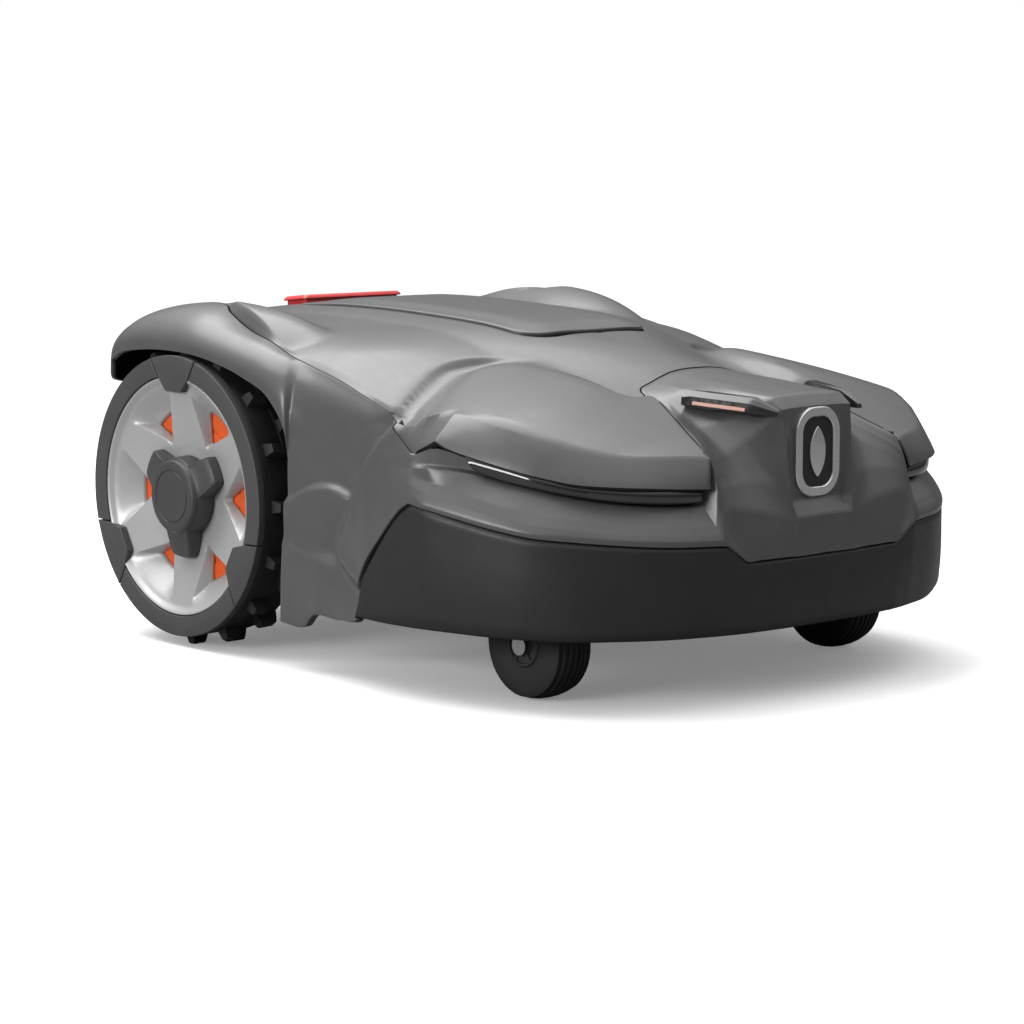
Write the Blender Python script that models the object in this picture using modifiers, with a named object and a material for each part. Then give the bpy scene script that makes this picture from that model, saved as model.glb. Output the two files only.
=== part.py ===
"""Robotic lawn mower, about 579 x 449 x 251 mm.

The mower drives towards -Y. +Z is up, +X is its left side, and the origin is on the ground under the
middle of its bounding box. Lengths are written in millimetres and become metres in place().
"""

import math

import bmesh
import bpy
import numpy as np
from mathutils import Matrix

MM = 0.001
GAP = 0.5
SHELL = 3.0
SIDE_NAMES = {-1: "right", 1: "left"}

# Drive wheels: the rim's face is dished, and the window walls slope in towards the coloured disc.
AXLE_Y = 159.3
WHEEL_R = 111.2
TREAD_R = 103.4
RIM_R = 88.0
BARREL_R = 96.6
TAB_R = 77.0
WHEEL_IN = 165.0
WHEEL_OUT = 215.0
RING_IN = 208.4
RIM_BACK = 193.5
LUGS = 16
SPOKES = 6
WINDOW_FACE = [(43, 3), (75, 20), (81, 21.5), (82.5, 0)]
WINDOW_BACK = [(45.5, 2), (60, 10.5), (64.5, 11.5), (65.5, 0)]
CAP_BASE = 201.2
CAP_SHOULDER = 210.0
CAP_FACE = 216.5
CAP_R = 27.0
LOBE_R = 45.5
AXLE_R = 6.0
AXLE_DEPTH = 22.0
MOTOR_OUT = 154.0

# Casters: the stem stands ahead of the axle by the trail.
CASTER_X = 146.0
CASTER_Y = -163.0
CASTER_TRAIL = 15.0
CASTER_R = 37.3
CASTER_HALF = 16.5
STEM_R = 7.0

# Cutting unit, stored at its lowest height.
CUT_Y = -22.0
DISC_R = 82.0
BLADE_RING = 74.0
BLADE_Z = 21.0
BLADES = 3
CARRIER_R = 44.0

# Cover: opening and pivot of the hatch, red button, and the posts that the cover floats on.
SEAM_GAP = 5.0
COVER_ROWS = 8
LID_GAP = 1.0
LID_PROUD = 2.2
LID_FRONT = -63.0
LID_REAR = 206.0
LID_HALF = 62.0
LID_CORNER = 26.0
HATCH_AXIS = (0, LID_REAR - 0.4, 244.2)
BUTTON_Y = 228.0
BUTTON_HALF = (49.0, 15.0)
POSTS = [(132.0, -128.0), (131.0, 200.0)]

# Indicators on the shoulders of the nose, and the plain badge between them.
INDICATOR_LINE = [(60, -212, 198.5), (45, -268, 196)]
INDICATOR_NORMAL = (0.966, -0.259)
INDICATOR_SIZE = (5.0, 5.2)
INDICATOR_SEAT = 1.6
BADGE_HALF = (17.5, 33.0)
BADGE_ROUND = 9.0
BADGE_THICK = 2.0
BADGE_AT = (0, -284.0, 159)
BADGE_LEAN = 0.075

# Tub of the chassis: half width and bottom at stations along Y.
TUB = [(-236, 100, 104), (-216, 146, 103), (-195, 164, 102), (-140, 166, 102), (-114, 152, 102),
       (-100, 150, 72), (214, 150, 72), (230, 140, 88)]
TUB_TOP = 142.0

# Profile of the roof along its middle, then how far the hood falls towards the sides.
SPINE = [(-290, 158), (-272, 170), (-237, 185), (-204, 198.5), (-168, 213), (-115, 225), (-75, 232),
         (-14, 240), (46, 244), (136, 246.5), (208, 244.5), (290, 236)]
HOOD_FALL = [(-290, 26), (-254, 28), (-220, 23), (-187, 20), (-157, 24), (-115, 31), (-85, 40),
             (-50, 54), (300, 60)]
SIDE_Z = [(-290, 150), (-120, 172), (-72, 187), (-29, 201), (-5, 208), (36, 215), (100, 220), (290, 220)]
SIDE_SLOPE = 0.30
FENDER_Z = [(-74, 150), (6, 196), (31, 217), (50, 228), (87, 243), (134, 251.5), (181, 252.5), (221, 248),
            (247, 239), (272, 222), (290, 204)]
FENDER_X = [(-74, 130), (0, 140), (60, 150), (120, 160), (180, 168), (290, 165)]
GROOVE = [(97, -100), (103, -76), (118, -62), (150, -72), (195, -88), (215, -95)]

# Upper edge of the bumper from the nose round to its slanted rear end.
BUMPER_TOP = [(0, -289, 98.7), (40, -288, 98.8), (74, -286.5, 99), (92, -286, 111), (128, -275, 112),
              (160, -254, 114), (181, -234, 116), (198, -212, 118), (209, -187, 122), (217, -160, 127),
              (223, -132, 132), (222.5, -118, 134), (222, -106, 127), (221.5, -89, 110), (221, -66, 80),
              (221, -60, 52)]
BUMPER_FOOT = [(0, -289), (40, -288), (74, -285), (92, -281), (128, -269), (160, -250), (182, -233),
               (199, -207), (209, -182), (216, -155), (221, -130), (223, -118), (224, -106), (225, -89),
               (223.5, -67), (221.5, -60)]
BUMPER_BOTTOM = 50.0

# Brow line: the lower front edge of the top cover, and the crease above it.
BROW = [(99, -275.2, 147), (119, -269, 148), (142, -259, 149.5), (160, -246, 150.5), (176, -229, 152),
        (186, -214, 155), (194, -201, 158), (205, -178, 164), (212, -147, 171), (214, -136, 175.5),
        (211.3, -113, 166.3)]
CREASE = [(93.5, -269.5, 166), (110, -262, 166.5), (129, -253, 167), (146, -243, 168), (161, -231, 170),
          (173, -217, 174), (182, -203, 180), (191, -182, 185), (196, -154, 191), (196, -136, 193),
          (196, -113, 192)]
SEAM = [(208, -90, 177), (202, -76, 189), (197, -49, 196), (194, -14, 205.5), (191, 36, 217),
        (186, 76, 228), (181, 104, 233.5), (177, 123, 238.5), (171, 146, 246), (163, 160, 250),
        (158, 184, 251), (156, 210, 248), (153, 235, 242), (149, 254, 237), (146, 266, 233.5),
        (138, 275, 232), (100, 281, 232.5), (50, 283.5, 233), (0, 284, 233)]

# Ledge and floor of the light slot, lower and upper edges of the wheel arch, edge of the console.
LEDGE = [(98, -279.5, 123), (128, -269, 124), (157, -249, 126), (178, -229.5, 129), (193, -208, 132),
         (204, -184, 137), (211.5, -158, 142.5), (216, -134, 148)]
SLOT_FLOOR = [136, 136.5, 138.5, 142, 146.5, 151, 156, 158]
SLOT_DEPTH = 22.0
ARCH = [(212, 27.5, 150), (212.3, 30, 173), (212.5, 46, 191), (212.5, 76, 204), (212.3, 102, 211),
        (212, 127, 215.5),
        (212, 155, 218), (212, 184, 218.3), (212, 208, 217), (211.5, 230, 213.5), (210, 244, 207), (206, 250,
                                                                                                    194),
        (196, 258, 190), (181, 266, 188), (165, 271, 188), (158, 272, 150), (152, 274, 62), (100, 280, 60),
        (50, 283, 60), (0, 284, 60)]
ARCH_TOP = [(191, 40, 217.5), (190.3, 46, 218.8), (189, 56, 221.5), (186, 76, 227.3), (181.5, 104, 233),
            (177.5, 123, 238), (171.5, 146, 245.5), (163.5, 161, 249.3), (158.6, 184, 250.3), (156.6, 210,
                                                                                               247.3),
            (153.6, 235, 241.3), (150, 254, 236.3), (147.5, 266, 232.8), (146, 270, 232), (143, 274, 231.8),
            (138.5, 277, 231.5), (120, 281, 231.7), (100, 284, 231.8), (50, 286.5, 232.2), (0, 287, 232.3)]
REAR_SWELL = 9.0
CONSOLE_EDGE = [(93, -264), (84.5, -238), (74, -205), (62.5, -169), (46, -166.5), (20, -164.5), (0, -164)]


for leftover in list(bpy.data.objects):
    bpy.data.objects.remove(leftover)
bpy.context.scene.unit_settings.scale_length = 1.0
PARTS = bpy.data.collections.new("robotic_lawn_mower")
CUTTERS = bpy.data.collections.new("cutters")
bpy.context.scene.collection.children.link(PARTS)
bpy.context.scene.collection.children.link(CUTTERS)


def place(x, y, z):
    return (x * MM, y * MM, z * MM)


def shift_of(offset):
    return Matrix.Translation(place(*offset))


def curve(points, t):
    """Smooth value at t through (position, value) pairs."""
    knots, values = np.array(points, float).T
    t = np.asarray(t, float)
    slopes = np.gradient(values, knots)
    i = np.clip(np.searchsorted(knots, t) - 1, 0, len(knots) - 2)
    span = knots[i + 1] - knots[i]
    u = np.clip((t - knots[i]) / span, 0, 1)
    start = (2 * u**3 - 3 * u**2 + 1) * values[i] + (u**3 - 2 * u**2 + u) * span * slopes[i]
    return start + (3 * u**2 - 2 * u**3) * values[i + 1] + (u**3 - u**2) * span * slopes[i + 1]


def soft_max(a, b, radius):
    h = np.clip(0.5 + 0.5 * (a - b) / radius, 0, 1)
    return b + (a - b) * h + radius * h * (1 - h)


def behind_groove(x, y):
    """Distance behind the groove that ends the hood, negative ahead of it."""
    line = np.array(GROOVE, float)
    nearest = math.inf
    for start, end in zip(line[:-1], line[1:]):
        step = end - start
        offset = np.array([x, y]) - start
        u = np.clip(offset @ step / (step @ step), 0, 1)
        away = offset - u * step
        if np.linalg.norm(away) < abs(nearest):
            side = step[0] * offset[1] - step[1] * offset[0]
            nearest = math.copysign(np.linalg.norm(away), side)
    return nearest


def roof(x, y):
    """Height of the upper skin over a point in plan."""
    x = abs(x)
    spine = float(curve(SPINE, y))
    plateau = spine - (6 * (x / 95) ** 4 if x < 95 else 6 + 0.12 * (x - 95))
    hood = spine - float(curve(HOOD_FALL, y)) * (x / 190) ** 2.4
    bulge = 3 * math.sin(math.pi * min(max((195 - x) / 100, 0), 1))
    side = float(curve(SIDE_Z, y)) + SIDE_SLOPE * (195 - x) + bulge
    rear = -float(soft_max(-plateau, -side, 5))
    if y < -100 and x < 130:
        height = hood
    else:
        behind = behind_groove(x, y)
        height = float(soft_max(hood - 0.9 * max(behind, 0), rear - 0.5 * max(-behind - 6, 0), 2.5))
    crest = float(curve(FENDER_X, y))
    fender = float(curve(FENDER_Z, y)) - 22 * (max(crest - x, 0) / 40) ** 1.6
    fender -= 8 * (max(x - crest, 0) / 27) ** 2
    return float(soft_max(height, fender, 5))


def inward(line, i, distance):
    """Point i of a plan line moved towards the middle of the mower, square to the line."""
    before = np.array(line[max(i - 1, 0)][:2], float)
    after = np.array(line[min(i + 1, len(line) - 1)][:2], float)
    along = (after - before) / np.linalg.norm(after - before)
    here = np.array(line[i][:2], float)
    return here + distance * np.array([-along[1], along[0]])


# --- objects ---------------------------------------------------------------------------------------


def material(name, color, roughness, metallic=0.0):
    made = bpy.data.materials.new(name)
    made.use_nodes = True
    shader = made.node_tree.nodes["Principled BSDF"]
    shader.inputs["Base Color"].default_value = (*color, 1)
    shader.inputs["Roughness"].default_value = roughness
    shader.inputs["Metallic"].default_value = metallic
    return made


def object_of(name, mesh, look, origin=(0, 0, 0)):
    """Object whose origin stands at a point in millimetres, in the mower's collection."""
    mesh.transform(shift_of([-value for value in origin]))
    made = bpy.data.objects.new(name, mesh)
    made.location = place(*origin)
    mesh.materials.append(look)
    PARTS.objects.link(made)
    return made


def mesh_from(bm, name):
    mesh = bpy.data.meshes.new(name)
    bm.to_mesh(mesh)
    bm.free()
    return mesh


def grid_mesh(name, sections):
    """Quads between neighbouring sections."""
    bm = bmesh.new()
    rows = [[bm.verts.new(place(*point)) for point in section] for section in sections]
    for first, second in zip(rows[:-1], rows[1:]):
        for a, b, c, d in zip(first[:-1], first[1:], second[1:], second[:-1]):
            bm.faces.new((a, b, c, d))
    bmesh.ops.remove_doubles(bm, verts=bm.verts, dist=1e-6)
    return mesh_from(bm, name)


def shell(name, sections, look, thickness=SHELL, flip=False):
    """Skin through the sections, thickened inwards and mirrored to the other side."""
    mesh = grid_mesh(name, sections)
    if flip:
        mesh.flip_normals()
    made = object_of(name, mesh, look)
    other = made.modifiers.new("Mirror", "MIRROR")
    other.merge_threshold = 0.0001
    wall = made.modifiers.new("Wall", "SOLIDIFY")
    wall.thickness = thickness * MM
    wall.offset = -1
    return made


def box(name, low, high, look, bevel=0.0):
    bm = bmesh.new()
    bmesh.ops.create_cube(bm, size=1)
    size = [(b - a) * MM for a, b in zip(low, high)]
    middle = [(a + b) / 2 * MM for a, b in zip(low, high)]
    bmesh.ops.scale(bm, vec=size, verts=bm.verts)
    bmesh.ops.translate(bm, vec=middle, verts=bm.verts)
    made = object_of(name, mesh_from(bm, name), look)
    if bevel:
        edge = made.modifiers.new("Edge", "BEVEL")
        edge.width = bevel * MM
        edge.segments = 2
    return made


def outline_mesh(name, outlines, low, high):
    """Flat outline with holes, extruded from low to high along Z, closed and welded."""
    flat = bpy.data.curves.new(name, "CURVE")
    flat.dimensions = "2D"
    flat.fill_mode = "BOTH"
    flat.extrude = (high - low) / 2 * MM
    for points in outlines:
        spline = flat.splines.new("POLY")
        spline.points.add(len(points) - 1)
        for knot, (x, y) in zip(spline.points, points):
            knot.co = (x * MM, y * MM, 0, 1)
        spline.use_cyclic_u = True
    holder = bpy.data.objects.new(name, flat)
    PARTS.objects.link(holder)
    bpy.context.view_layer.update()
    graph = bpy.context.evaluated_depsgraph_get()
    mesh = bpy.data.meshes.new_from_object(holder.evaluated_get(graph))
    bpy.data.objects.remove(holder)
    bpy.data.curves.remove(flat)
    bm = bmesh.new()
    bm.from_mesh(mesh)
    bmesh.ops.remove_doubles(bm, verts=bm.verts, dist=1e-6)
    bmesh.ops.translate(bm, vec=(0, 0, (low + high) / 2 * MM), verts=bm.verts)
    bmesh.ops.recalc_face_normals(bm, faces=bm.faces)
    bm.to_mesh(mesh)
    bm.free()
    return mesh


def ring_points(radius, count, centre=(0, 0), start=0.0):
    turns = [start + 2 * math.pi * i / count for i in range(count)]
    return [(centre[0] + radius * math.cos(a), centre[1] + radius * math.sin(a)) for a in turns]


def to_side(mesh, side, centre):
    """Turns a Z-extruded mesh so that Z runs outwards along X on one side of the mower."""
    for vertex in mesh.vertices:
        x, y, z = vertex.co
        vertex.co = (side * z, x + centre[0] * MM, y + centre[1] * MM)
    if side < 0:
        mesh.flip_normals()
    return mesh


def turned_mesh(profile, steps=32):
    """Profile of (radius, height) pairs, counter-clockwise round its area, turned about Z."""
    bm = bmesh.new()
    rings = []
    for i in range(steps):
        a = 2 * math.pi * i / steps
        rings.append([bm.verts.new(place(r * math.cos(a), r * math.sin(a), z)) for r, z in profile])
    count = len(profile)
    for i in range(steps):
        first, second = rings[i], rings[(i + 1) % steps]
        for j in range(count):
            k = (j + 1) % count
            bm.faces.new((first[j], first[k], second[k], second[j]))
    bmesh.ops.remove_doubles(bm, verts=bm.verts, dist=1e-6)
    bmesh.ops.recalc_face_normals(bm, faces=bm.faces)
    return mesh_from(bm, "turned")


def smooth(made, angle=35):
    made.data.shade_smooth()
    made.data.set_sharp_from_angle(angle=math.radians(angle))
    return made


def cutter(mesh, location=(0, 0, 0)):
    made = bpy.data.objects.new("cutter", mesh)
    made.location = place(*location)
    made.hide_render = True
    made.display_type = "WIRE"
    CUTTERS.objects.link(made)
    return made


def combine(made, tool, operation="DIFFERENCE"):
    step = made.modifiers.new("Cut" if operation == "DIFFERENCE" else "Join", "BOOLEAN")
    step.operation = operation
    step.object = tool
    return made


# --- skin ------------------------------------------------------------------------------------------


def nose_sections():
    """Sections of the body shell from the middle of the nose to the inner end of the light slot."""
    middle = [(-168, 214.5), (-225, 208), (-270, 203.5), (-279.5, 196), (-282, 160), (-285.5, 129),
              (-287, 112)]
    sections = [[(x, y + x * 0.02, z - x * 0.03) for y,
                 z in middle] + [(x, -289 + x * 0.02, 98.7)] for x in (0, 20)]
    sections += [
        [(33, -171, 212), (34, -225, 205.5), (33, -266, 201.5), (32, -274, 195), (29, -281, 160),
         (27, -285.5, 127),
         (36, -286.5, 112), (40, -288, 98.8)],
        [(46, -171.5, 211), (50, -215, 201), (55, -243, 185), (52, -261, 172), (45, -275, 150),
         (38, -283.5, 128),
         (48, -285.5, 112), (54, -287.5, 98.8)],
        [(60, -173, 208), (63, -208, 194), (66, -236, 181), (64, -256, 167), (59, -270, 150),
         (55, -281, 130),
         (62, -284.5, 112.5), (66, -287, 99)],
        [(71.5, -208, 193.5), (74, -226, 185), (76, -246, 174), (75, -260, 162), (72, -271, 148),
         (70, -279.5, 131),
         (73, -283.5, 112), (74, -286.5, 99)],
        [(82, -241, 180.5), (83.5, -252, 173), (84.5, -262, 165), (85, -268, 157), (84, -273.5, 147),
         (83, -279, 133), (83, -283, 114), (83, -286.2, 105)],
        [(87, -260, 170.5), (88, -267, 165), (89.5, -272, 157), (91, -275, 149), (92.5, -276.8, 142),
         (94, -278.8, 133), (93.5, -282, 124), (92, -286, 111)],
    ]
    return sections


def band_sections():
    """Sections along the light slot, its ledge and the band above the bumper."""
    edge = [BUMPER_TOP[i] for i in (3, 4, 5, 6, 7, 8, 9, 10)]
    brow_z = np.interp([98, 128, 157, 178, 193, 204, 211.5, 216], [p[0] for p in BROW[:10]],
                       [p[2] for p in BROW[:10]])
    sections = []
    for i, (crease, floor, top) in enumerate(zip(LEDGE, SLOT_FLOOR, brow_z)):
        depth = SLOT_DEPTH if i < 6 else (19.0, 13.0)[i - 6]
        back = inward(edge, i, depth)
        lip = inward(edge, i, depth - 6)
        foot = edge[i] if i else (97, -285, 111.2)
        if i == 0:
            back, lip = (100, -263), (99, -268)
        middle = [(a + b) / 2 for a, b in zip(crease, foot)]
        sections.append([
            (*back, top + (5 if i < 6 else -5)),
            (*back, (top + floor) / 2),
            (*back, floor + 0.5),
            (*lip, floor - 0.8),
            crease,
            (middle[0] + 0.6, middle[1] - 0.6, middle[2]),
            (foot[0], foot[1], foot[2] + 3),
            foot,
        ])
    return sections


def wall_sections():
    """Sections of the side wall from the tip of the brow to the front of the wheel arch."""
    return [
        [(213.5, -112, 163.8), (214, -112, 162), (214.5, -112, 159.5), (215.3, -112.5, 156.5),
         (217.5, -114, 151.5),
         (219.5, -115, 146), (221, -116, 140), (222.5, -118, 134)],
        [(208, -90, 176.3), (210, -92, 171), (212, -94, 164), (214, -96, 155), (216.5, -98, 147),
         (218.5, -100, 140),
         (220.5, -103, 133), (222, -106, 127)],
        [(202.5, -76, 188.3), (206, -78, 180), (209, -79, 171), (212, -81, 160), (214.5, -83, 148),
         (217, -85, 135),
         (219.5, -87, 122), (221.5, -89, 110)],
        [(199.5, -60, 192.7), (205, -61, 182), (209, -62, 169), (212, -63, 152), (214.5, -64, 134),
         (217, -65, 115), (219, -65.5, 97), (221, -66, 80)],
        [(197.5, -49, 195.4), (204, -49, 185), (208, -49, 170), (211, -49, 150), (213.5, -50, 125),
         (216, -51, 100),
         (218, -55, 75), (219.5, -60, 50)],
        [(195.8, -32, 200), (203, -32, 187), (206, -32, 166), (206.5, -32, 138), (210.5, -32, 131),
         (211.5, -32, 105), (212.5, -33, 80), (215.5, -36, 45)],
        [(194, -8, 206.8), (203, -8, 192), (206, -8, 169), (206, -8, 137), (210.5, -8, 131), (211, -8, 106),
         (211.5, -7, 82), (212.5, -4, 44)],
        [(192.5, 14, 211.5), (202.5, 14, 197), (207, 14, 173), (207.5, 15, 135), (210.8, 16, 129),
         (211, 17, 106),
         (211, 16, 80), (210.5, 13, 33)],
        [(191.3, 30, 215), (202, 28, 203), (208, 27, 182), (210, 26.5, 152), (211.5, 27, 124),
         (211.5, 31, 97),
         (211, 35, 68), (210, 37, 34)],
    ]


def fender_sections(rows=8):
    """Sections over the wheel arch and round the back: each bulges out between its seam and lower edge."""
    sections = []
    for i, (top, foot) in enumerate(zip(ARCH_TOP, ARCH)):
        top = np.array(top, float)
        foot = np.array(foot, float)
        swell = REAR_SWELL * np.clip((i - 11) / 4, 0, 1) * (1 - 0.5 * np.clip((i - 15) / 2, 0, 1))
        section = []
        for row in range(rows):
            a = math.pi / 2 * row / (rows - 1)
            flat = top + (foot - top) * math.sin(a)
            height = foot[2] + (top[2] - foot[2]) * math.cos(a) ** 0.9
            section.append((flat[0], flat[1] + swell * math.sin(2 * a), height))
        sections.append(section)
    return sections


def make_body_shell(look):
    sections = nose_sections() + band_sections() + wall_sections() + fender_sections()
    made = shell("body_shell", sections, look)
    return smooth(made)


def lid_outline(grow=0.0, corner_points=4):
    """Half outline of the hatch from the middle of its front to the middle of its rear."""
    points = [(0, LID_FRONT - grow), (LID_HALF - LID_CORNER, LID_FRONT + 1 - grow)]
    centre = (LID_HALF - LID_CORNER, LID_FRONT + 1 + LID_CORNER)
    for i in range(1, corner_points):
        a = math.pi / 2 * i / corner_points
        reach = LID_CORNER + grow
        points.append((centre[0] + reach * math.sin(a), centre[1] - reach * math.cos(a)))
    points.append((LID_HALF + grow, centre[1]))
    points += [(LID_HALF + grow + 2, y) for y in (15, 80, 145)]
    rear = LID_REAR + 3 * grow
    points += [(LID_HALF + grow, LID_REAR - 8), (LID_HALF - 8 + grow * 0.7, rear), (0, rear)]
    return points


def sampled(points, count):
    """Points at equal steps along a polyline."""
    line = np.array(points, float)
    lengths = np.concatenate([[0], np.cumsum(np.linalg.norm(np.diff(line, axis=0), axis=1))])
    at = np.linspace(0, lengths[-1], count)
    return np.stack([np.interp(at, lengths, line[:, k]) for k in range(line.shape[1])], axis=1)


def make_top_cover(look):
    """Skin from the brow and seam inwards to the console, the middle line and the hatch opening."""
    outer = BROW + SEAM
    inner = sampled(CONSOLE_EDGE, 9).tolist() + [(0, -140), (0, -100)]
    inner += lid_outline(LID_GAP) + [(0, y) for y in (218, 226, 234, 242, 250, 259, 268)]
    sections = []
    for i, (edge, inside) in enumerate(zip(outer, inner)):
        end = np.array(inside, float)
        edge = np.array(edge, float)
        if i >= len(BROW):
            away = end - edge[:2]
            edge[:2] += SEAM_GAP * away / np.linalg.norm(away)
        section = [tuple(edge)]
        start = edge[:2]
        if i < len(CREASE):
            section.append(CREASE[i])
            start = np.array(CREASE[i][:2], float)
        count = COVER_ROWS - len(section)
        for k in range(1, count + 1):
            x, y = start + (end - start) * k / count
            section.append((max(x, 0), y, roof(x, y)))
        sections.append(section)
    return smooth(shell("top_cover", sections, look, flip=True))


def loft_mesh(name, rings):
    """Closed solid through rings of points, with flat ends."""
    bm = bmesh.new()
    loops = [[bm.verts.new(place(*point)) for point in ring] for ring in rings]
    count = len(loops[0])
    for first, second in zip(loops[:-1], loops[1:]):
        for j in range(count):
            k = (j + 1) % count
            bm.faces.new((first[j], first[k], second[k], second[j]))
    bm.faces.new(loops[0])
    bm.faces.new(loops[-1])
    bmesh.ops.recalc_face_normals(bm, faces=bm.faces)
    return mesh_from(bm, name)


def sided(points, side):
    return [(side * x, y, z) for x, y, z in points]


def make_bumper(look):
    levels = [1, 0.66, 0.33, 0.1, 0]
    sections = []
    for i, ((x, y, z), (foot_x, foot_y)) in enumerate(zip(BUMPER_TOP, BUMPER_FOOT)):
        shift = GAP + (0.9 if i > 9 else 0)
        tuck = inward(BUMPER_FOOT, i, 3.5)
        section = []
        for level in levels:
            height = BUMPER_BOTTOM + (z - (2.0 if i < 5 else 1.2) - BUMPER_BOTTOM) * level
            across = foot_x + (x - foot_x) * level
            along = foot_y + (y - foot_y) * level - (shift if i > 9 else 0)
            section.append((across, along, height))
        section[-1] = (max(tuck[0], 0) if i else 0, tuck[1] - (shift if i > 9 else 0), BUMPER_BOTTOM)
        sections.append(section)
    return smooth(shell("bumper", sections, look))


def make_hatch(look):
    """Domed lid over the control panel, a little proud of the roof at its front."""
    outline = lid_outline()
    ys = [LID_FRONT + 0.4, -58, -50, -40, -10, 30, 75, 120, 165, LID_REAR - 8, LID_REAR - 0.4]
    edge_y = [p[1] for p in outline]
    edge_x = [p[0] for p in outline]
    sections = []
    for y in ys:
        half = float(np.interp(y, edge_y[:-1], edge_x[:-1])) - GAP
        proud = LID_PROUD * min(1, (LID_REAR - y) / 60)
        sections.append([(half * u, y, roof(half * u, y) + proud) for u in (1, 0.8, 0.5, 0.25, 0)])
    made = shell("hatch_lid", sections, look, thickness=LID_PROUD + 1.0, flip=True)
    made.data.transform(shift_of((0, -HATCH_AXIS[1], -HATCH_AXIS[2])))
    made.location = place(*HATCH_AXIS)
    return smooth(made)


def make_stop_button(look):
    """Red button with a lipped edge and a sunken middle, its plug going down through the cover."""
    rings = []
    for grow, z in ((-2.5, -8.0), (-2.5, 3.3), (0, 3.5), (0, 3.9), (-2, 5.8), (-6, 5.8), (-7, 4.4)):
        ring = []
        for sx, sy in ((1, 1), (-1, 1), (-1, -1), (1, -1)):
            x = sx * (BUTTON_HALF[0] + grow)
            y = BUTTON_Y + sy * (BUTTON_HALF[1] + grow)
            ring.append((x, y, roof(x, y) + z))
        rings.append(ring)
    mesh = loft_mesh("stop_button", rings)
    return object_of("stop_button", mesh, look, (0, BUTTON_Y, roof(0, BUTTON_Y)))


def button_opening():
    low = (-BUTTON_HALF[0] + 1.5, BUTTON_Y - BUTTON_HALF[1] + 1.5, 200)
    high = (BUTTON_HALF[0] - 1.5, BUTTON_Y + BUTTON_HALF[1] - 1.5, 280)
    return block_cutter(low, high)


def block_cutter(low, high):
    bm = bmesh.new()
    bmesh.ops.create_cube(bm, size=1)
    bmesh.ops.scale(bm, vec=[(b - a) * MM for a, b in zip(low, high)], verts=bm.verts)
    bmesh.ops.translate(bm, vec=[(a + b) / 2 * MM for a, b in zip(low, high)], verts=bm.verts)
    return cutter(mesh_from(bm, "block"))


def drum_cutter(radius, low, high, x, y, steps=24):
    mesh = turned_mesh([(0, low), (radius, low), (radius, high), (0, high)], steps)
    return cutter(mesh, (x, y, 0))


def make_lens(side, look):
    """Strip of the headlight that fills the slot under the brow."""
    edge = [BUMPER_TOP[i] for i in (3, 4, 5, 6, 7, 8, 9)]
    tops = brow_heights()
    rings = []
    for i, (floor, top) in enumerate(zip(SLOT_FLOOR[:6], tops)):
        near = inward(edge, i, 13.5)
        far = inward(edge, i, 19.0)
        face = inward(edge, i, 16.0)
        if i == 0:
            near = (103, -270)
            face = (103, -268)
            far = (103.5, -265.5)
        low = floor + 1.2
        high = top - 2.2
        rings.append([(*face, low), (*near, high), (*far, high), (*far, low)])
    name = SIDE_NAMES[side] + "_headlight"
    return object_of(name, loft_mesh(name, [sided(ring, side) for ring in rings]), look)


def brow_heights():
    """Height of the brow above each point of the ledge."""
    xs, _, zs = zip(*BROW[:10])
    return [float(np.interp(point[0], xs, zs)) for point in LEDGE]


def indicator_ring(at, grow=0.0):
    """Section of the indicator housing at one end of its line."""
    x, y, z = at
    deep = INDICATOR_SIZE[0] + grow
    tall = INDICATOR_SIZE[1] + grow
    across, along = INDICATOR_NORMAL
    return [(x + across * deep, y + along * deep, z - tall),
            (x + across * deep * 0.7, y + along * deep * 0.7, z + tall),
            (x - across * deep, y - along * deep, z + tall),
            (x - across * deep, y - along * deep, z - tall)]


def make_indicator(side, look, light_look):
    name = SIDE_NAMES[side] + "_indicator"
    rings = [sided(indicator_ring(at), side) for at in INDICATOR_LINE]
    object_of(name, loft_mesh(name, rings), look)
    near = INDICATOR_SIZE[0] + 0.3
    far = near + 1.0
    across, along = INDICATOR_NORMAL
    strip = []
    for x, y, z in INDICATOR_LINE:
        strip.append([(x + across * near, y + along * near, z - 4.8),
                      (x + across * near, y + along * near, z - 1.2),
                      (x + across * far, y + along * far, z - 1.6),
                      (x + across * far, y + along * far, z - 4.8)])
    object_of(name + "_light", loft_mesh(name, [sided(ring, side) for ring in strip]), light_look)


def make_emblem(look):
    """Plain badge on the nose."""
    outline = []
    for sx, sy in ((1, -1), (1, 1), (-1, 1), (-1, -1)):
        corner = (sx * (BADGE_HALF[0] - BADGE_ROUND), sy * (BADGE_HALF[1] - BADGE_ROUND))
        start = math.atan2(sy, sx) - math.pi / 4
        for i in range(5):
            a = start + math.pi / 2 * i / 4
            outline.append((corner[0] + BADGE_ROUND * math.cos(a), corner[1] + BADGE_ROUND * math.sin(a)))
    mesh = outline_mesh("emblem", [outline], 0, BADGE_THICK)
    made = object_of("emblem", mesh, look)
    made.rotation_euler = (math.pi / 2 - BADGE_LEAN, 0, 0)
    made.location = place(*BADGE_AT)
    return made


def gear_outline(inner, outer, count, tooth=0.22):
    """Ring outline with straight teeth."""
    points = []
    for i in range(count):
        for share, radius in ((0, inner), (0.5 - tooth, inner), (0.5 - tooth, outer),
                              (0.5 + tooth * 0.6, outer), (0.5 + tooth, inner)):
            a = 2 * math.pi * (i + share - 0.456) / count - math.pi / 2
            points.append((radius * math.cos(a), radius * math.sin(a)))
    return points


def polar(radius, degrees):
    a = math.radians(degrees)
    return (radius * math.cos(a), radius * math.sin(a))


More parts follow.
